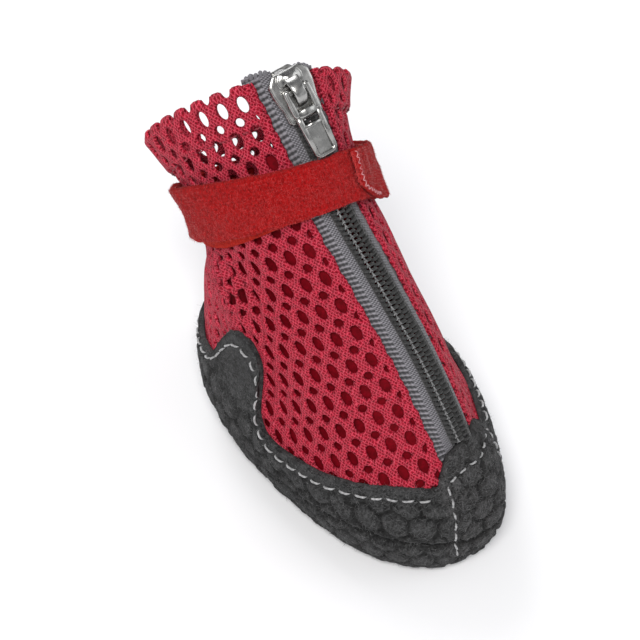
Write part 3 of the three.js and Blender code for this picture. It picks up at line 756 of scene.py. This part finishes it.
# One cell of the lattice: a big hole in the middle and a quarter of a small hole at each corner.
def netCell():
    halfA, halfB, small = net["across"] / 2, net["along"] / 2, net["small"]
    corners = np.array([(halfA, -halfB), (halfA, halfB), (-halfA, halfB), (-halfA, -halfB)])
    outline = []
    for index, count in enumerate((10, 4, 10, 4)):
        here, then = corners[index], corners[(index + 1) % 4]
        way = unit(then - here)
        begin, end = here + small * way, then - small * way
        outline += [begin * (1 - share) + end * share for share in np.arange(count) / count]
        for share in np.arange(5) / 5:
            angle = math.radians(90 * (index - 1) - 90 * share)
            outline.append(then + small * np.array([math.cos(angle), math.sin(angle)]))
    outline = np.array(outline)
    angle = np.arctan2(outline[:, 1] / net["bigAlong"], outline[:, 0] / net["bigAcross"])
    hole = np.stack([net["bigAcross"] * np.cos(angle), net["bigAlong"] * np.sin(angle)], -1)
    shares = np.array([0, 0.13, 0.34, 0.6, 0.85, 1.0])
    flat = hole[None] + (outline - hole)[None] * shares[:, None, None]
    stretch = np.hypot(flat[..., 0] / net["bigAcross"], flat[..., 1] / net["bigAlong"])
    fromBig = np.linalg.norm(flat, axis=-1) * (1 - 1 / np.maximum(stretch, 1.0))
    fromSmall = np.hypot(np.abs(flat[..., 0]) - halfA, np.abs(flat[..., 1]) - halfB) - small
    gap = np.clip(np.minimum(fromBig, fromSmall) / net["shoulder"], 0, 1)
    rise = np.sqrt(np.clip(1 - (1 - gap) ** 2, 0, 1))
    # Painted highlight: a weight for each ring, highest at the hole rims, that the knit's rim sparkles follow.
    rimHighlight = np.repeat(np.array([0.9, 1.0, 0.3, 0.0, 0.6, 0.8])[:, None], len(outline), 1)
    return flat, rise, rimHighlight


# Points that meet are made one: the points to keep, and the faces on them.
def weld(points, quads):
    spots = np.round(points[:, :3] * 2000).astype(np.int64)
    _, first, inverse = np.unique(spots, axis=0, return_index=True, return_inverse=True)
    return points[first], inverse.reshape(-1)[quads]


def netPanel(name, sideSign):
    flat, rise, rimHighlight = netCell()
    front, back = (np.concatenate([flat.reshape(-1, 2), (rise * lift).reshape(-1, 1), rimHighlight.reshape(-1, 1)], 1)
                   for lift in (net["proud"], -net["sink"]))
    faces = np.array(gridFaces(*rise.shape, True))
    cellPoints = np.concatenate([front, back])
    cellFaces = np.concatenate([faces, faces[:, ::-1] + len(front)])
    topHeight = tables[sideSign]["top"]
    hemLow = topHeight - net["hemDepth"]
    points, quads, count = [], [], 0
    for rowIndex in range(-2, 17):
        for columnIndex in range(22):
            centreA = (columnIndex + 0.5) * net["across"] + net["firstColumn"]
            centreB = topHeight - net["along"] * (rowIndex + 0.5)
            held = min(centreB, 2 * topHeight - centreB)
            level, turnHere = panelPlace(sideSign, np.array([centreA]), np.array([held]))
            pastHem = centreB > topHeight + net["hemDepth"] + 1
            if pastHem or centreA - net["across"] / 2 > panelReach(sideSign, held):
                continue
            edgeHere = smoothTable(feltEdge, 2, abs(turnHere[0])) if abs(turnHere[0]) > 26 else 2.4
            if level[0] < min(edgeHere, 3.4) - 0.75:
                continue
            points.append(cellPoints + [centreA, centreB, 0, 0])
            quads.append(cellFaces + count)
            count += len(cellPoints)
    points, quads = weld(np.concatenate(points), np.concatenate(quads))
    # cut at the zip side, at the middle of the back and below the hem
    frontEdge = boot["zipHalf"] - 0.15
    across, along = points[:, 0], points[:, 1]
    reach = panelReach(sideSign, np.minimum(along, 2 * topHeight - along)) + 0.02
    low = np.minimum(across - frontEdge, reach - across)
    quads = quads[(low[quads].max(1) > 0.0) & (along[quads].mean(1) < topHeight + net["hemDepth"])]
    # the cut edges are closed: front and back meet there
    sides = np.sort(np.concatenate([quads[:, [k, (k + 1) % 4]] for k in range(4)]), axis=1)
    pairs, uses = np.unique(sides, axis=0, return_counts=True)
    points[np.unique(pairs[(uses == 1) & (pairs[:, 0] != pairs[:, 1])]), 2] = 0
    points, quads = weld(points, quads)
    along, lift = points[:, 1], points[:, 2]
    held = np.minimum(along, 2 * topHeight - along)
    across = np.clip(points[:, 0], frontEdge, panelReach(sideSign, held) + 0.02)
    level, turnHere = panelPlace(sideSign, across, np.clip(held, None, topHeight))
    plain = np.abs(turnHere)
    hem = smoothStep(hemLow - 0.8, hemLow + 0.8, held)
    outer = -0.25 + 0.75 * hem - 0.5 * np.exp(-((held - hemLow) / 0.7) ** 2)
    gathers = np.exp(-((plain - net["gatherTurn"]) / 26) ** 2) * np.exp(-((level - net["gatherLevel"]) / 0.85) ** 2)
    gathers = gathers * (1 if sideSign < 0 else 0.7)
    folds = net["gatherDepth"] * gathers * np.sin(np.radians(plain) * 46 + 0.8 * np.sin(level * 3))
    rumple = 0.35 * waves(np.stack([across, along * 0.6, 0 * across], -1), 17.0, 21 + sideSign)
    # the fold over the collar: from the outer layer round to the inner one
    inner = 0.75
    foldAngle = np.clip((along - topHeight) / 0.9, -1, 1) * math.pi / 2
    inward, folding = along > topHeight, np.abs(foldAngle) < math.pi / 2
    foldOut = (outer - inner) / 2 - (outer + inner) / 2 * np.sin(foldAngle)
    base = np.where(folding, foldOut, np.where(inward, -inner, outer))
    outward = np.where(folding, -np.sin(foldAngle) * lift, np.where(inward, -lift, lift))
    upward = np.where(folding, np.cos(foldAngle) * lift + 0.62 * np.cos(foldAngle), 0)
    place = bodyPoint(level, turnHere, base + rumple * (1 - 0.5 * hem) + folds + outward)
    place = place + collarWay * upward[:, None]
    # the seam edge beside the zip turns under
    nearZip = smoothStep(frontEdge + 1.1, frontEdge, across)
    place = place - bodyNormal(level, turnHere) * (0.35 * nearZip)[:, None]
    used, quads = np.unique(quads, return_inverse=True)
    clean = [tuple(dict.fromkeys(face)) for face in quads.reshape(-1, 4).tolist()]
    clean = [face for face in clean if len(face) > 2]
    flatPlace = np.stack([across, along], -1)
    return makePiece(name, place[used], clean, "knit", flat=flatPlace[used], slot="mesh", shade=points[used, 3],
                     flip=sideSign < 0)


panelRight = netPanel("mesh_panel_right", -1)
panelLeft = netPanel("mesh_panel_left", 1)
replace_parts(panelRight, "upper")

rope = {"rows": 520, "sides": 12, "halfWidth": 0.72, "halfHeight": 0.5}


def borderRope(name, sideSign):
    levelsHere = np.linspace(2.55, 8.03, rope["rows"])
    run = runLength(zipPoint(levelsHere, 0.0))
    middleSide = boot["zipHalf"] + 0.3 + 0.16 * np.sin(run * 0.91 + 1.2) + 0.08 * np.sin(run * 2.3)
    angle = np.linspace(0, 2 * math.pi, rope["sides"], endpoint=False)
    spread = middleSide[:, None] + rope["halfWidth"] * np.cos(angle)[None]
    lift = 0.02 + rope["halfHeight"] * np.sin(angle)[None] + 0.06 * np.sin(run * 4.4)[:, None]
    lift = lift + 0.5 * smoothStep(7.0, 7.4, levelsHere)[:, None]
    points = zipPoint(np.broadcast_to(levelsHere[:, None], spread.shape), sideSign * spread, lift)
    flat = np.stack([spread.ravel(), np.repeat(run, rope["sides"])], -1)
    return makePiece(name, points, tubeFaces(rope["rows"], rope["sides"]), "knit", flat=flat, slot="mesh",
                     flip=sideSign < 0)


borderRope("zip_border_left", 1)
borderRope("zip_border_right", -1)

hemStitch = {"seed": 91, "length": 2.0, "gap": 0.9, "radius": 0.17, "proud": 0.22, "sink": 0.3}
hemParts = []
for sideSign in (-1, 1):
    held = np.full(260, tables[sideSign]["top"] - net["hemDepth"] + 0.3)
    acrossHere = np.linspace(8.2, panelReach(sideSign, held[0]) - 0.3, 260)
    levelHere, turnHere = panelPlace(sideSign, acrossHere, held)
    hemParts += stitchRun(bodyPoint(levelHere, turnHere, 0.35), bodyNormal(levelHere, turnHere), hemStitch)
makePiece("hem_stitches", *joinParts(hemParts), "seamThread")

print("insideShadeSheet")
inside = {
    "low": 0.25,
    "top": 6.3,
    "topByZip": 7.25,
    "depth": -1.25,
    "slotFrom": 2.8,
    "slotTurn": 12,
    "sliderTurn": 24,
}
# A dark red sheet just behind the mesh, seen through its holes: painted shade of the boot's inside.
shadeSheetTurns = np.linspace(-180, 180, 160, endpoint=False)
shadeSheetTop = inside["topByZip"] - (inside["topByZip"] - inside["top"]) * smoothStep(40, 62, np.abs(shadeSheetTurns))
shadeSheetLevels = inside["low"] + (shadeSheetTop - inside["low"])[None] * np.linspace(0, 1, 80)[:, None]
insideShadeSheet = bodyPoint(shadeSheetLevels, shadeSheetTurns[None], inside["depth"])
insideShadeSheet += 0.12 * waves(insideShadeSheet, 8.0, 31)[..., None] * gridNormals(insideShadeSheet, True)
# open behind the zip, and a little wider beside the slider
shadeSheetSlot = np.where(shadeSheetLevels < inside["top"], inside["slotTurn"], inside["sliderTurn"])
shadeSheetOpen = ((np.abs(shadeSheetTurns)[None] <= shadeSheetSlot) & (shadeSheetLevels >= inside["slotFrom"])).ravel()
shadeSheetFaces = [face for face in gridFaces(*shadeSheetLevels.shape, True) if not shadeSheetOpen[face[0]]]
shadeSheetPiece = makePiece("insideShadeSheet", insideShadeSheet, shadeSheetFaces, "insideShadeSheet", slot="mesh")

print("zip")
zipParts = {
    "tapeOuter": 7.5,
    "tapeInner": 2.2,
    "tapeThickness": 0.72,
    "tapeRows": 420,
    "tapeColumns": 34,
    "barPitch": 1.25,
    "finePitch": 0.85,
    "coilPitch": 1.22,
    "coilStart": 3.18,
    "coilEnd": 7.93,
}


def tapeOut(level, plain):
    clear = np.clip((level - 3.0) / 0.3, 0, 1)
    return -1.6 + 1.25 * smoothStep(0, 2.6, boot["zipHalf"] - 0.3 - plain) * clear


def tapePiece(name, sideSign):
    levelsHere = np.linspace(2.75, 8.13, zipParts["tapeRows"])
    inner = zipParts["tapeInner"] - (0.3 if sideSign > 0 else 0)
    spans = np.linspace(inner, zipParts["tapeOuter"], zipParts["tapeColumns"])
    levelGrid, spanGrid = np.meshgrid(levelsHere, spans, indexing="ij")
    out = tapeOut(levelGrid, spanGrid)
    run = np.broadcast_to(runLength(zipPoint(levelsHere, 0.0))[:, None], spanGrid.shape)
    # raised weft bars at the tape's outer band, fine weave near the coil
    bars = np.sin(run * 2 * math.pi / zipParts["barPitch"] + spanGrid * 1.1) * smoothStep(4.3, 4.9, spanGrid)
    bars = bars * (0.2 if sideSign < 0 else 0.05)
    fine = np.sin(run * 2 * math.pi / zipParts["finePitch"] - spanGrid * 2.2) * np.sin(spanGrid * 7.2) * 0.05
    fine = fine * smoothStep(4.9, 4.3, spanGrid)
    upper = zipPoint(levelGrid, sideSign * spanGrid, out + zipParts["tapeThickness"] + bars + fine)
    lower = zipPoint(levelGrid, sideSign * spanGrid, out)
    flat = np.stack([np.tile(spanGrid.ravel(), 2), np.tile(run.ravel(), 2)], -1)
    return makePiece(name, np.stack([upper, lower]), plateFaces(*levelGrid.shape),
                     "tape" if sideSign < 0 else "tapeFine", flat=flat, slot="tape", flip=sideSign < 0)


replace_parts(tapePiece("tape_left", 1), "zip_tape_left")
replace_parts(tapePiece("tape_right", -1), "zip_tape_right")

levelFine = np.linspace(zipParts["coilStart"], zipParts["coilEnd"], 900)
zipRun = runLength(zipPoint(levelFine, 0.0))


def zipAt(run, sideways, out):
    return zipPoint(np.interp(run, zipRun, levelFine), sideways, out)


coilParts, chainParts, edgeParts = [], [], []
pitch = zipParts["coilPitch"]
toothCount = int(zipRun[-1] / pitch)
for sideSign, slim in ((-1, 1.0), (1, 0.72)):
    run = np.linspace(0, toothCount * pitch, toothCount * 14)
    phase = run / pitch * 2 * math.pi + (0 if sideSign > 0 else math.pi)
    sideways = sideSign * slim * (1.42 - 1.28 * np.cos(phase))
    coilParts.append(threadTube(zipAt(run, sideways, 1.55 + 0.62 * np.sin(phase)), 0.36, 6, 0.0, False))
    # bed cord under the coil's outer turns
    run = np.linspace(0, toothCount * pitch, 220)
    coilParts.append(threadTube(zipAt(run, sideSign * slim * 2.35, 0.9), 0.5, 7, 0.0, False))
    # one chain stitch over each turn, with two legs; the far half's stitches are finer
    middle, spread, bend, thick = (-1.62, -0.42, 0.22, 0.17) if sideSign < 0 else (1.5, 0.25, 0.088, 0.12)
    share = np.linspace(0, 1, 5)
    for tooth in range(toothCount):
        start = tooth * pitch + (0.0 if sideSign > 0 else pitch / 2)
        for legSide in (-1, 1):
            reach = middle + legSide * spread * (1 - share)
            path = zipAt(start + share * pitch * 1.15, reach, 2.32 + 0.22 * np.sin(share * math.pi))
            path[:, 0] += bend * np.sin(share * math.pi) * legSide
            (chainParts if sideSign < 0 else edgeParts).append(threadTube(path, thick, 5, 1.0))
coilPiece = makePiece("zip_coil_turns", *joinParts(coilParts), "coil", slot="coil")
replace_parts(coilPiece, "zip_coil")
makePiece("zip_chain_stitch", *joinParts(chainParts), "chain")
makePiece("zip_chain_left", *joinParts(edgeParts), "chainDark")

knobParts = []
rng = np.random.default_rng(44)
for sideSign in (-1, 1):
    for index in range(5):
        span = 3.1 + index * 0.85
        base = zipPoint(8.12 + 0.015 * (index % 2), sideSign * span, tapeOut(8.1, span) + 0.4)
        path = base + collarWay * np.linspace(-0.9, 0.75, 7)[:, None]
        knobParts.append(threadTube(path, 0.46 * rng.uniform(0.85, 1.15), 8, 0.0))
makePiece("tape_end_knots", *joinParts(knobParts), "tape")

print("strap")
strap = {"columns": 300, "tabStart": 7.0, "tabRound": 16.0, "tabInset": 0.36, "zigzags": 24}
pile = {"length": 0.8, "stand": 0.3, "width": 0.07, "comb": (0.0, -0.6, -1.2)}


def strapLow(turnHere):
    left = np.maximum(np.sin(np.radians(turnHere)), 0)
    return 6.0 - 0.2 * np.sin(np.radians(turnHere)) - 0.5 * left ** 2 / (left + 0.25)


def strapHeight(turnHere):
    return 0.99 + 0.09 * (1 - np.cos(np.radians(turnHere)))


def standAt(turnHere):
    return smoothTable(strapStand, 1, turnHere, 3.0)


def bandPoint(turnHere, share, out):
    return bodyPoint(strapLow(turnHere) + strapHeight(turnHere) * share, turnHere, standAt(turnHere) + out)


strapTurns = np.linspace(-180, 180, strap["columns"], endpoint=False)
thick = boot["strapThickness"]
profile = [(share, thick + 0.12 * math.sin(math.pi * share)) for share in np.linspace(0.05, 0.95, 22)]
profile += [(0.985, thick * 0.86), (1.0, thick * 0.55), (0.99, thick * 0.2), (0.96, 0.0)]
profile += [(share, 0.0) for share in np.linspace(0.85, 0.15, 6)]
profile += [(0.04, 0.0), (0.01, thick * 0.2), (0.0, thick * 0.55), (0.015, thick * 0.86)]
band = np.array([bandPoint(strapTurns, share, out) for share, out in profile])
bandNormals = gridNormals(band, True)
band = band + bandNormals * (0.13 * waves(band, 6.0, 62) + 0.05 * waves(band, 1.7, 63))[..., None]
bandFaces = gridFaces(len(profile), strap["columns"], True)
last = (len(profile) - 1) * strap["columns"]
for column in range(strap["columns"]):
    beside = (column + 1) % strap["columns"]
    bandFaces.append((last + column, last + beside, beside, column))
bandPiece = makePiece("strap_ring", band, bandFaces, "strap", slot="strap")
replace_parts(bandPiece, "strap_band")
bandPile = fuzz("strap_pile", band[:24], bandNormals[:24], "pile", {**pile, "seed": 64, "count": 12000})

tabCorner = strap["tabStart"] + strap["tabRound"]
roundTurns = strap["tabStart"] + strap["tabRound"] * (1 - np.cos(np.linspace(0, math.pi / 2, 20)))
tabTurns = np.concatenate([roundTurns, np.linspace(24, 100, 60)])


def tabShape(turnHere, share, out):
    bend = 1 - np.sqrt(np.clip(1 - ((tabCorner - turnHere) / strap["tabRound"]) ** 2, 0, 1))
    inset = np.where(turnHere < tabCorner, strap["tabInset"] * bend, 0)
    low = strapLow(turnHere) - 0.02 + inset
    topHere = strapLow(turnHere) + strapHeight(turnHere) + 0.02 - inset * 0.12
    return bodyPoint(low + (topHere - low) * share, turnHere, standAt(turnHere) + thick + 0.4 + out)


tabProfile = [(share, 1.25 + 0.15 * math.sin(math.pi * share)) for share in np.linspace(0.04, 0.96, 20)]
tabProfile += [(0.99, 1.0), (1.0, 0.6), (0.99, 0.1), (0.5, -0.1), (0.01, 0.1), (0.0, 0.6), (0.01, 1.0)]
startFall = smoothStep(6.9, 9.0, tabTurns)
tab = np.array([tabShape(tabTurns, share, out * (0.25 + 0.75 * startFall)) for share, out in tabProfile])
tabNormals = gridNormals(tab)
tab = tab + tabNormals * (0.12 * waves(tab, 5.0, 72) + 0.05 * waves(tab, 1.7, 73))[..., None]
tabPiece = makePiece("strap_end_tab", tab, stripFaces(*tab.shape[:2]), "strap", slot="strap")
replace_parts(tabPiece, "strap_tab")
tabPile = fuzz("tab_pile", tab[:20], tabNormals[:20], "pile", {**pile, "seed": 74, "count": 4500})

underTurns = np.linspace(-132, -36, 90)
fade = np.clip((-38 - underTurns) / 50, 0, 1)
underLow = strapLow(underTurns) - 0.02 - 0.24 * fade
underRows = [
    (0.0, 0.9), (0.03, 1.2), (0.1, 1.3), (0.3, 1.3), (0.6, 1.25), (1.0, 1.2), (1.0, 0.4), (0.5, 0.3), (0.03, 0.4),
]
under = np.array([bodyPoint(underLow + 0.7 * share, underTurns, out) for share, out in underRows])
underPiece = makePiece("strap_under_layer", under, stripFaces(*under.shape[:2]), "strapUnder", slot="strap_under")
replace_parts(underPiece, "strap_under")

# the zigzag follows the tab's edge: down its start and round the lower corner
edgeTurns = np.concatenate([np.full(30, 9.0), 9.0 + 15.0 * np.linspace(0, 1, 24) ** 1.3])
edgeShares = np.concatenate([np.linspace(0.96, 0.1, 30), np.full(24, 0.07)])
zig = tabShape(edgeTurns, edgeShares, 1.36)
marks = evenPath(zig, runLength(zig)[-1] / strap["zigzags"])
zigNormal = bodyNormal(6.5, 14.0)
swing = unit(np.cross(zigNormal, np.gradient(marks, axis=0)))
bow = np.linspace(0, 1, 6)[:, None]
zigParts = []
for index in range(len(marks) - 1):
    sway = 0.45 if index % 2 else -0.45
    first, second = marks[index] + swing[index] * sway, marks[index + 1] - swing[index] * sway
    path = first * (1 - bow) + second * bow + zigNormal * (0.18 * np.sin(bow * math.pi))
    zigParts.append(threadTube(path, 0.11, 5, 1.0))
zigPiece = makePiece("tab_zigzag", *joinParts(zigParts), "zigzag")

print("insole")
pad = {"columns": 120, "top": 4.2, "bottom": 2.7, "in": -2.05}
insoleRim = bodyPoint(0.2, np.linspace(-180, 180, pad["columns"], endpoint=False), pad["in"])
insoleRows = [(share, pad["top"]) for share in np.linspace(0.04, 0.985, 30)]
insoleRows += [(1.0, 4.0), (1.0, 3.4), (1.0, 2.75), (0.9, pad["bottom"]), (0.04, pad["bottom"])]
insole = np.array([insoleRim * share for share, _ in insoleRows])
insole[..., 2] = np.array([height for _, height in insoleRows])[:, None]
insole[:31, :, 2] += 0.1 * waves(insole[:31], 6.0, 81)
insolePiece = makePiece("insole_pad", insole, tubeFaces(*insole.shape[:2]), "insole", slot="insole")
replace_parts(insolePiece, "insole")

print("slider")
slider = {
    "level": 7.72,
    "archMiddle": 1.0,
    "archReach": 3.3,
    "archFoot": 3.9,
    "archHeight": 3.2,
    "pinUp": 1.2,
    "pinOut": 5.3,
    "pullLength": 15.6,
}
origin = zipPoint(slider["level"], 0.0)
upZip = unit(zipPoint(slider["level"] + 0.2, 0.0) - zipPoint(slider["level"] - 0.2, 0.0))
acrossZip = unit(zipPoint(slider["level"], 3.0) - zipPoint(slider["level"], -3.0))
outOfZip = unit(np.cross(acrossZip, upZip))
acrossZip = np.cross(upZip, outOfZip)
alongX, alongY, alongZ = np.eye(3)


def onZip(points):
    return origin + points[..., :1] * acrossZip + points[..., 1:2] * upZip + points[..., 2:3] * outOfZip


def mirrored(points, sideSign):
    return np.array(points, float) * [sideSign, 1, 1]


# A cast plate on an outline in x and y: its rim is rounded and its top swells by the dome.
def domePlate(outline, low, high, dome, steps=9):
    closed = np.array([(x, y, 0) for x, y in outline + outline[:1]], float)
    fine = evenPath(closed, 0.3)[:-1, :2]
    for _ in range(3):
        fine = (np.roll(fine, 1, 0) + fine * 2 + np.roll(fine, -1, 0)) / 4
    middle = fine.mean(0)
    angles = [math.pi / 2 * k / (steps - 1) for k in range(steps)]
    layers = [(0.02, low), (0.93, low), (1.0, low + 0.25)]
    layers += [(0.8 + 0.2 * math.cos(angle), high - 0.3 + 0.3 * math.sin(angle)) for angle in angles]
    layers += [(shrink, high + dome * (1 - (shrink / 0.8) ** 2)) for shrink in (0.6, 0.4, 0.2, 0.02)]
    block = np.array([np.insert(middle + (fine - middle) * shrink, 2, height, axis=1) for shrink, height in layers])
    faces = gridFaces(len(block), len(fine), True)
    edge, inward = fine[1] - fine[0], middle - fine[0]
    clockwise = edge[0] * inward[1] - edge[1] * inward[0] < 0
    return block.reshape(-1, 3), flipped(faces) if clockwise else faces


# A bar of rounded section that follows a path, with its width along the axis.
def roundBar(path, halfWidth, halfThick, axis, sides=20):
    path = np.asarray(path, float)
    lift = unit(np.cross(unit(np.gradient(path, axis=0)), axis))
    angle = np.linspace(0, 2 * math.pi, sides, endpoint=False)
    flatCos = np.sign(np.cos(angle)) * np.abs(np.cos(angle)) ** 0.5
    flatSin = np.sign(np.sin(angle)) * np.abs(np.sin(angle)) ** 0.7
    halfWidth = np.broadcast_to(halfWidth, len(path))
    block = path[:, None] + axis[None, None] * (halfWidth[:, None] * flatCos[None])[..., None]
    block = block + lift[:, None] * (halfThick * flatSin[None])[..., None]
    return block.reshape(-1, 3), tubeFaces(len(path), sides)


plate = [(-3.8, -5.6), (3.8, -5.6), (4.1, -2.2), (4.9, 1.6), (4.9, 4.2),
         (3.4, 5.9), (-3.4, 5.9), (-4.9, 4.2), (-4.9, 1.6), (-4.1, -2.2)]
nose = [(-3.0, 2.6), (3.0, 2.6), (3.2, 4.4), (2.4, 5.9), (-2.4, 5.9), (-3.2, 4.4)]
rail = [(3.75, -5.3, 2.4), (3.85, -2.2, 2.4), (4.35, 0.0, 2.4), (4.6, 1.6, 2.4), (4.55, 3.8, 2.45)]
archAngle = np.linspace(-0.12, math.pi + 0.12, 26)
archBack = slider["archReach"] * np.cos(archAngle) * (1 - 0.1 * np.sin(archAngle))
archRise = slider["archHeight"] * np.sin(np.clip(archAngle, 0, math.pi))
arch = np.stack([0 * archAngle, slider["archMiddle"] - archBack, slider["archFoot"] + archRise], -1)
archWidth = np.interp(np.linspace(0, 1, 26), [0, 0.5, 1], [1.15, 1.35, 1.9])
sliderParts = [domePlate(plate, 2.95, 4.1, 0.25), domePlate([(x * 0.92, y) for x, y in plate], -3.2, -2.35, 0.05)]
sliderParts += [roundBar(evenPath(mirrored(rail, sideSign), 0.5), 0.8, 0.3, alongZ) for sideSign in (-1, 1)]
sliderParts.append(roundBar([(0, 5.2, -2.7), (0, 5.2, 0), (0, 5.2, 3.2)], 1.3, 0.55, alongX))
sliderParts += [roundBar(arch, archWidth, 0.42, alongX), domePlate(nose, 3.6, 4.7, 0.9)]
points, faces = joinParts(sliderParts)
sliderPiece = makePiece("slider_body", onZip(points), faces, "metal", slot="slider_metal")
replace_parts(sliderPiece, "zip_slider")

pullEnd, pinOut = slider["pinUp"] - slider["pullLength"], slider["pinOut"]
pin = [(x, slider["pinUp"], pinOut) for x in np.linspace(-2.5, 2.5, 8)]
arm = [(2.3, 2.0, pinOut), (2.55, 1.2, pinOut), (2.6, -1.5, pinOut), (2.55, -3.6, pinOut), (2.45, -4.2, pinOut)]
leg = [(2.4, -3.8, pinOut), (2.4, -5.5, pinOut), (2.35, -7.2, pinOut), (2.2, pullEnd + 1.2, pinOut)]
tongue = [(-2.7, -6.4), (2.7, -6.4), (2.75, -10), (2.5, pullEnd + 0.7),
          (1.9, pullEnd), (-1.9, pullEnd), (-2.5, pullEnd + 0.7), (-2.75, -10)]
rimPath = [(-2.3, -7.3, 5.4), (-2.25, pullEnd + 1.0, 5.4), (-1.6, pullEnd + 0.45, 5.4),
           (1.6, pullEnd + 0.45, 5.4), (2.25, pullEnd + 1.0, 5.4), (2.3, -7.3, 5.4)]
pullParts = [roundBar(pin, 0.62, 0.62, alongY)]
pullParts += [roundBar(evenPath(mirrored(arm, sideSign), 0.5), 0.7, 0.72, alongX) for sideSign in (-1, 1)]
for low, highEnd, half in ((-4.9, -3.0, 3.1), (-7.4, -6.4, 2.95)):
    cross = [(x, (low + highEnd) / 2, pinOut) for x in (0.5 - half, 0, half - 0.5)]
    pullParts.append(roundBar(cross, (highEnd - low) / 2, 0.7, alongY))
pullParts += [roundBar(mirrored(leg, sideSign), 0.62, 0.7, alongX) for sideSign in (-1, 1)]
pullParts += [domePlate(tongue, 4.75, 5.45, 0.0), roundBar(evenPath(rimPath, 0.4), 0.55, 0.42, alongZ)]
points, faces = joinParts(pullParts)
pullPiece = makePiece("pull_tab_metal", onZip(points), faces, "metal", body="pull", slot="pull_metal")
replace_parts(pullPiece, "zip_pull")

print("stage and camera")
view = {
    "azimuth": -51.243,
    "elevation": 52.130,
    "roll": -7.674,
    "halfFov": 9.0,
    "distance": 0.5011,
    "middle": (-35.27, 122.76),
    "frameSize": 640,
}
floorData = bpy.data.meshes.new("floor")
floorData.from_pydata([(-3, -3, 0), (3, -3, 0), (3, 3, 0), (-3, 3, 0)], [], [(0, 1, 2, 3)])
floorData.materials.append(finish["floor"])
floorPiece = bpy.data.objects.new("floor", floorData)
scene.collection.objects.link(floorPiece)

a, e, r = (math.radians(view[key]) for key in ("azimuth", "elevation", "roll"))
backward = Vector((math.sin(a) * math.cos(e), -math.cos(a) * math.cos(e), math.sin(e)))
rightward = Vector((math.cos(a), math.sin(a), 0))
upward = backward.cross(rightward)
cameraX = rightward * math.cos(r) - upward * math.sin(r)
cameraY = rightward * math.sin(r) + upward * math.cos(r)
focal = view["frameSize"] / 2 / math.tan(math.radians(view["halfFov"]))
aim = (cameraX * view["middle"][0] + cameraY * view["middle"][1]) / focal - backward
axes = Matrix((cameraX, cameraY, backward)).transposed()
axes = (-backward).rotation_difference(aim).to_matrix() @ axes
cameraData = bpy.data.cameras.new("camera")
cameraData.sensor_width = 36.0
cameraData.lens = 18.0 / math.tan(math.radians(view["halfFov"]))
cameraData.clip_start, cameraData.clip_end = 0.01, 20.0
camera = bpy.data.objects.new("camera", cameraData)
scene.collection.objects.link(camera)
camera.matrix_world = Matrix.Translation(backward * view["distance"]) @ axes.to_4x4()
scene.camera = camera

lamps = (
    ("key", (-0.55, -0.35, 0.95), 0.5, 10.5, (1.0, 0.985, 0.96)),
    ("fill", (0.75, -0.6, 0.7), 0.7, 1.8, (0.97, 0.985, 1.0)),
    ("rim", (0.2, 0.9, 0.8), 0.6, 4.5, (1.0, 1.0, 1.0)),
)
for name, place, size, power, colour in lamps:
    lampData = bpy.data.lights.new(name, "AREA")
    lampData.shape, lampData.size, lampData.energy, lampData.color = "DISK", size, power, colour
    lamp = bpy.data.objects.new(name, lampData)
    lamp.location = place
    lamp.rotation_euler = (Vector((0, 0.01, 0.04)) - Vector(place)).to_track_quat("-Z", "Y").to_euler()
    scene.collection.objects.link(lamp)
world = bpy.data.worlds.new("soft sky")
world.use_nodes = True
sky, skyLinks = world.node_tree.nodes, world.node_tree.links
around, patches, tones = (sky.new("ShaderNode" + kind) for kind in ("TexCoord", "TexNoise", "ValToRGB"))
patches.inputs["Scale"].default_value, patches.inputs["Detail"].default_value = 1.7, 1.0
skyTones = ((0.40, (0.3, 0.305, 0.32, 1)), (0.58, (1.5, 1.52, 1.55, 1)))
for element, (position, colour) in zip(tones.color_ramp.elements, skyTones):
    element.position, element.color = position, colour
skyLinks.new(around.outputs["Generated"], patches.inputs["Vector"])
skyLinks.new(patches.outputs[0], tones.inputs[0])
skyLinks.new(tones.outputs[0], sky["Background"].inputs[0])
sky["Background"].inputs[1].default_value = 0.55
scene.world = world
scene.view_settings.view_transform = "Standard"
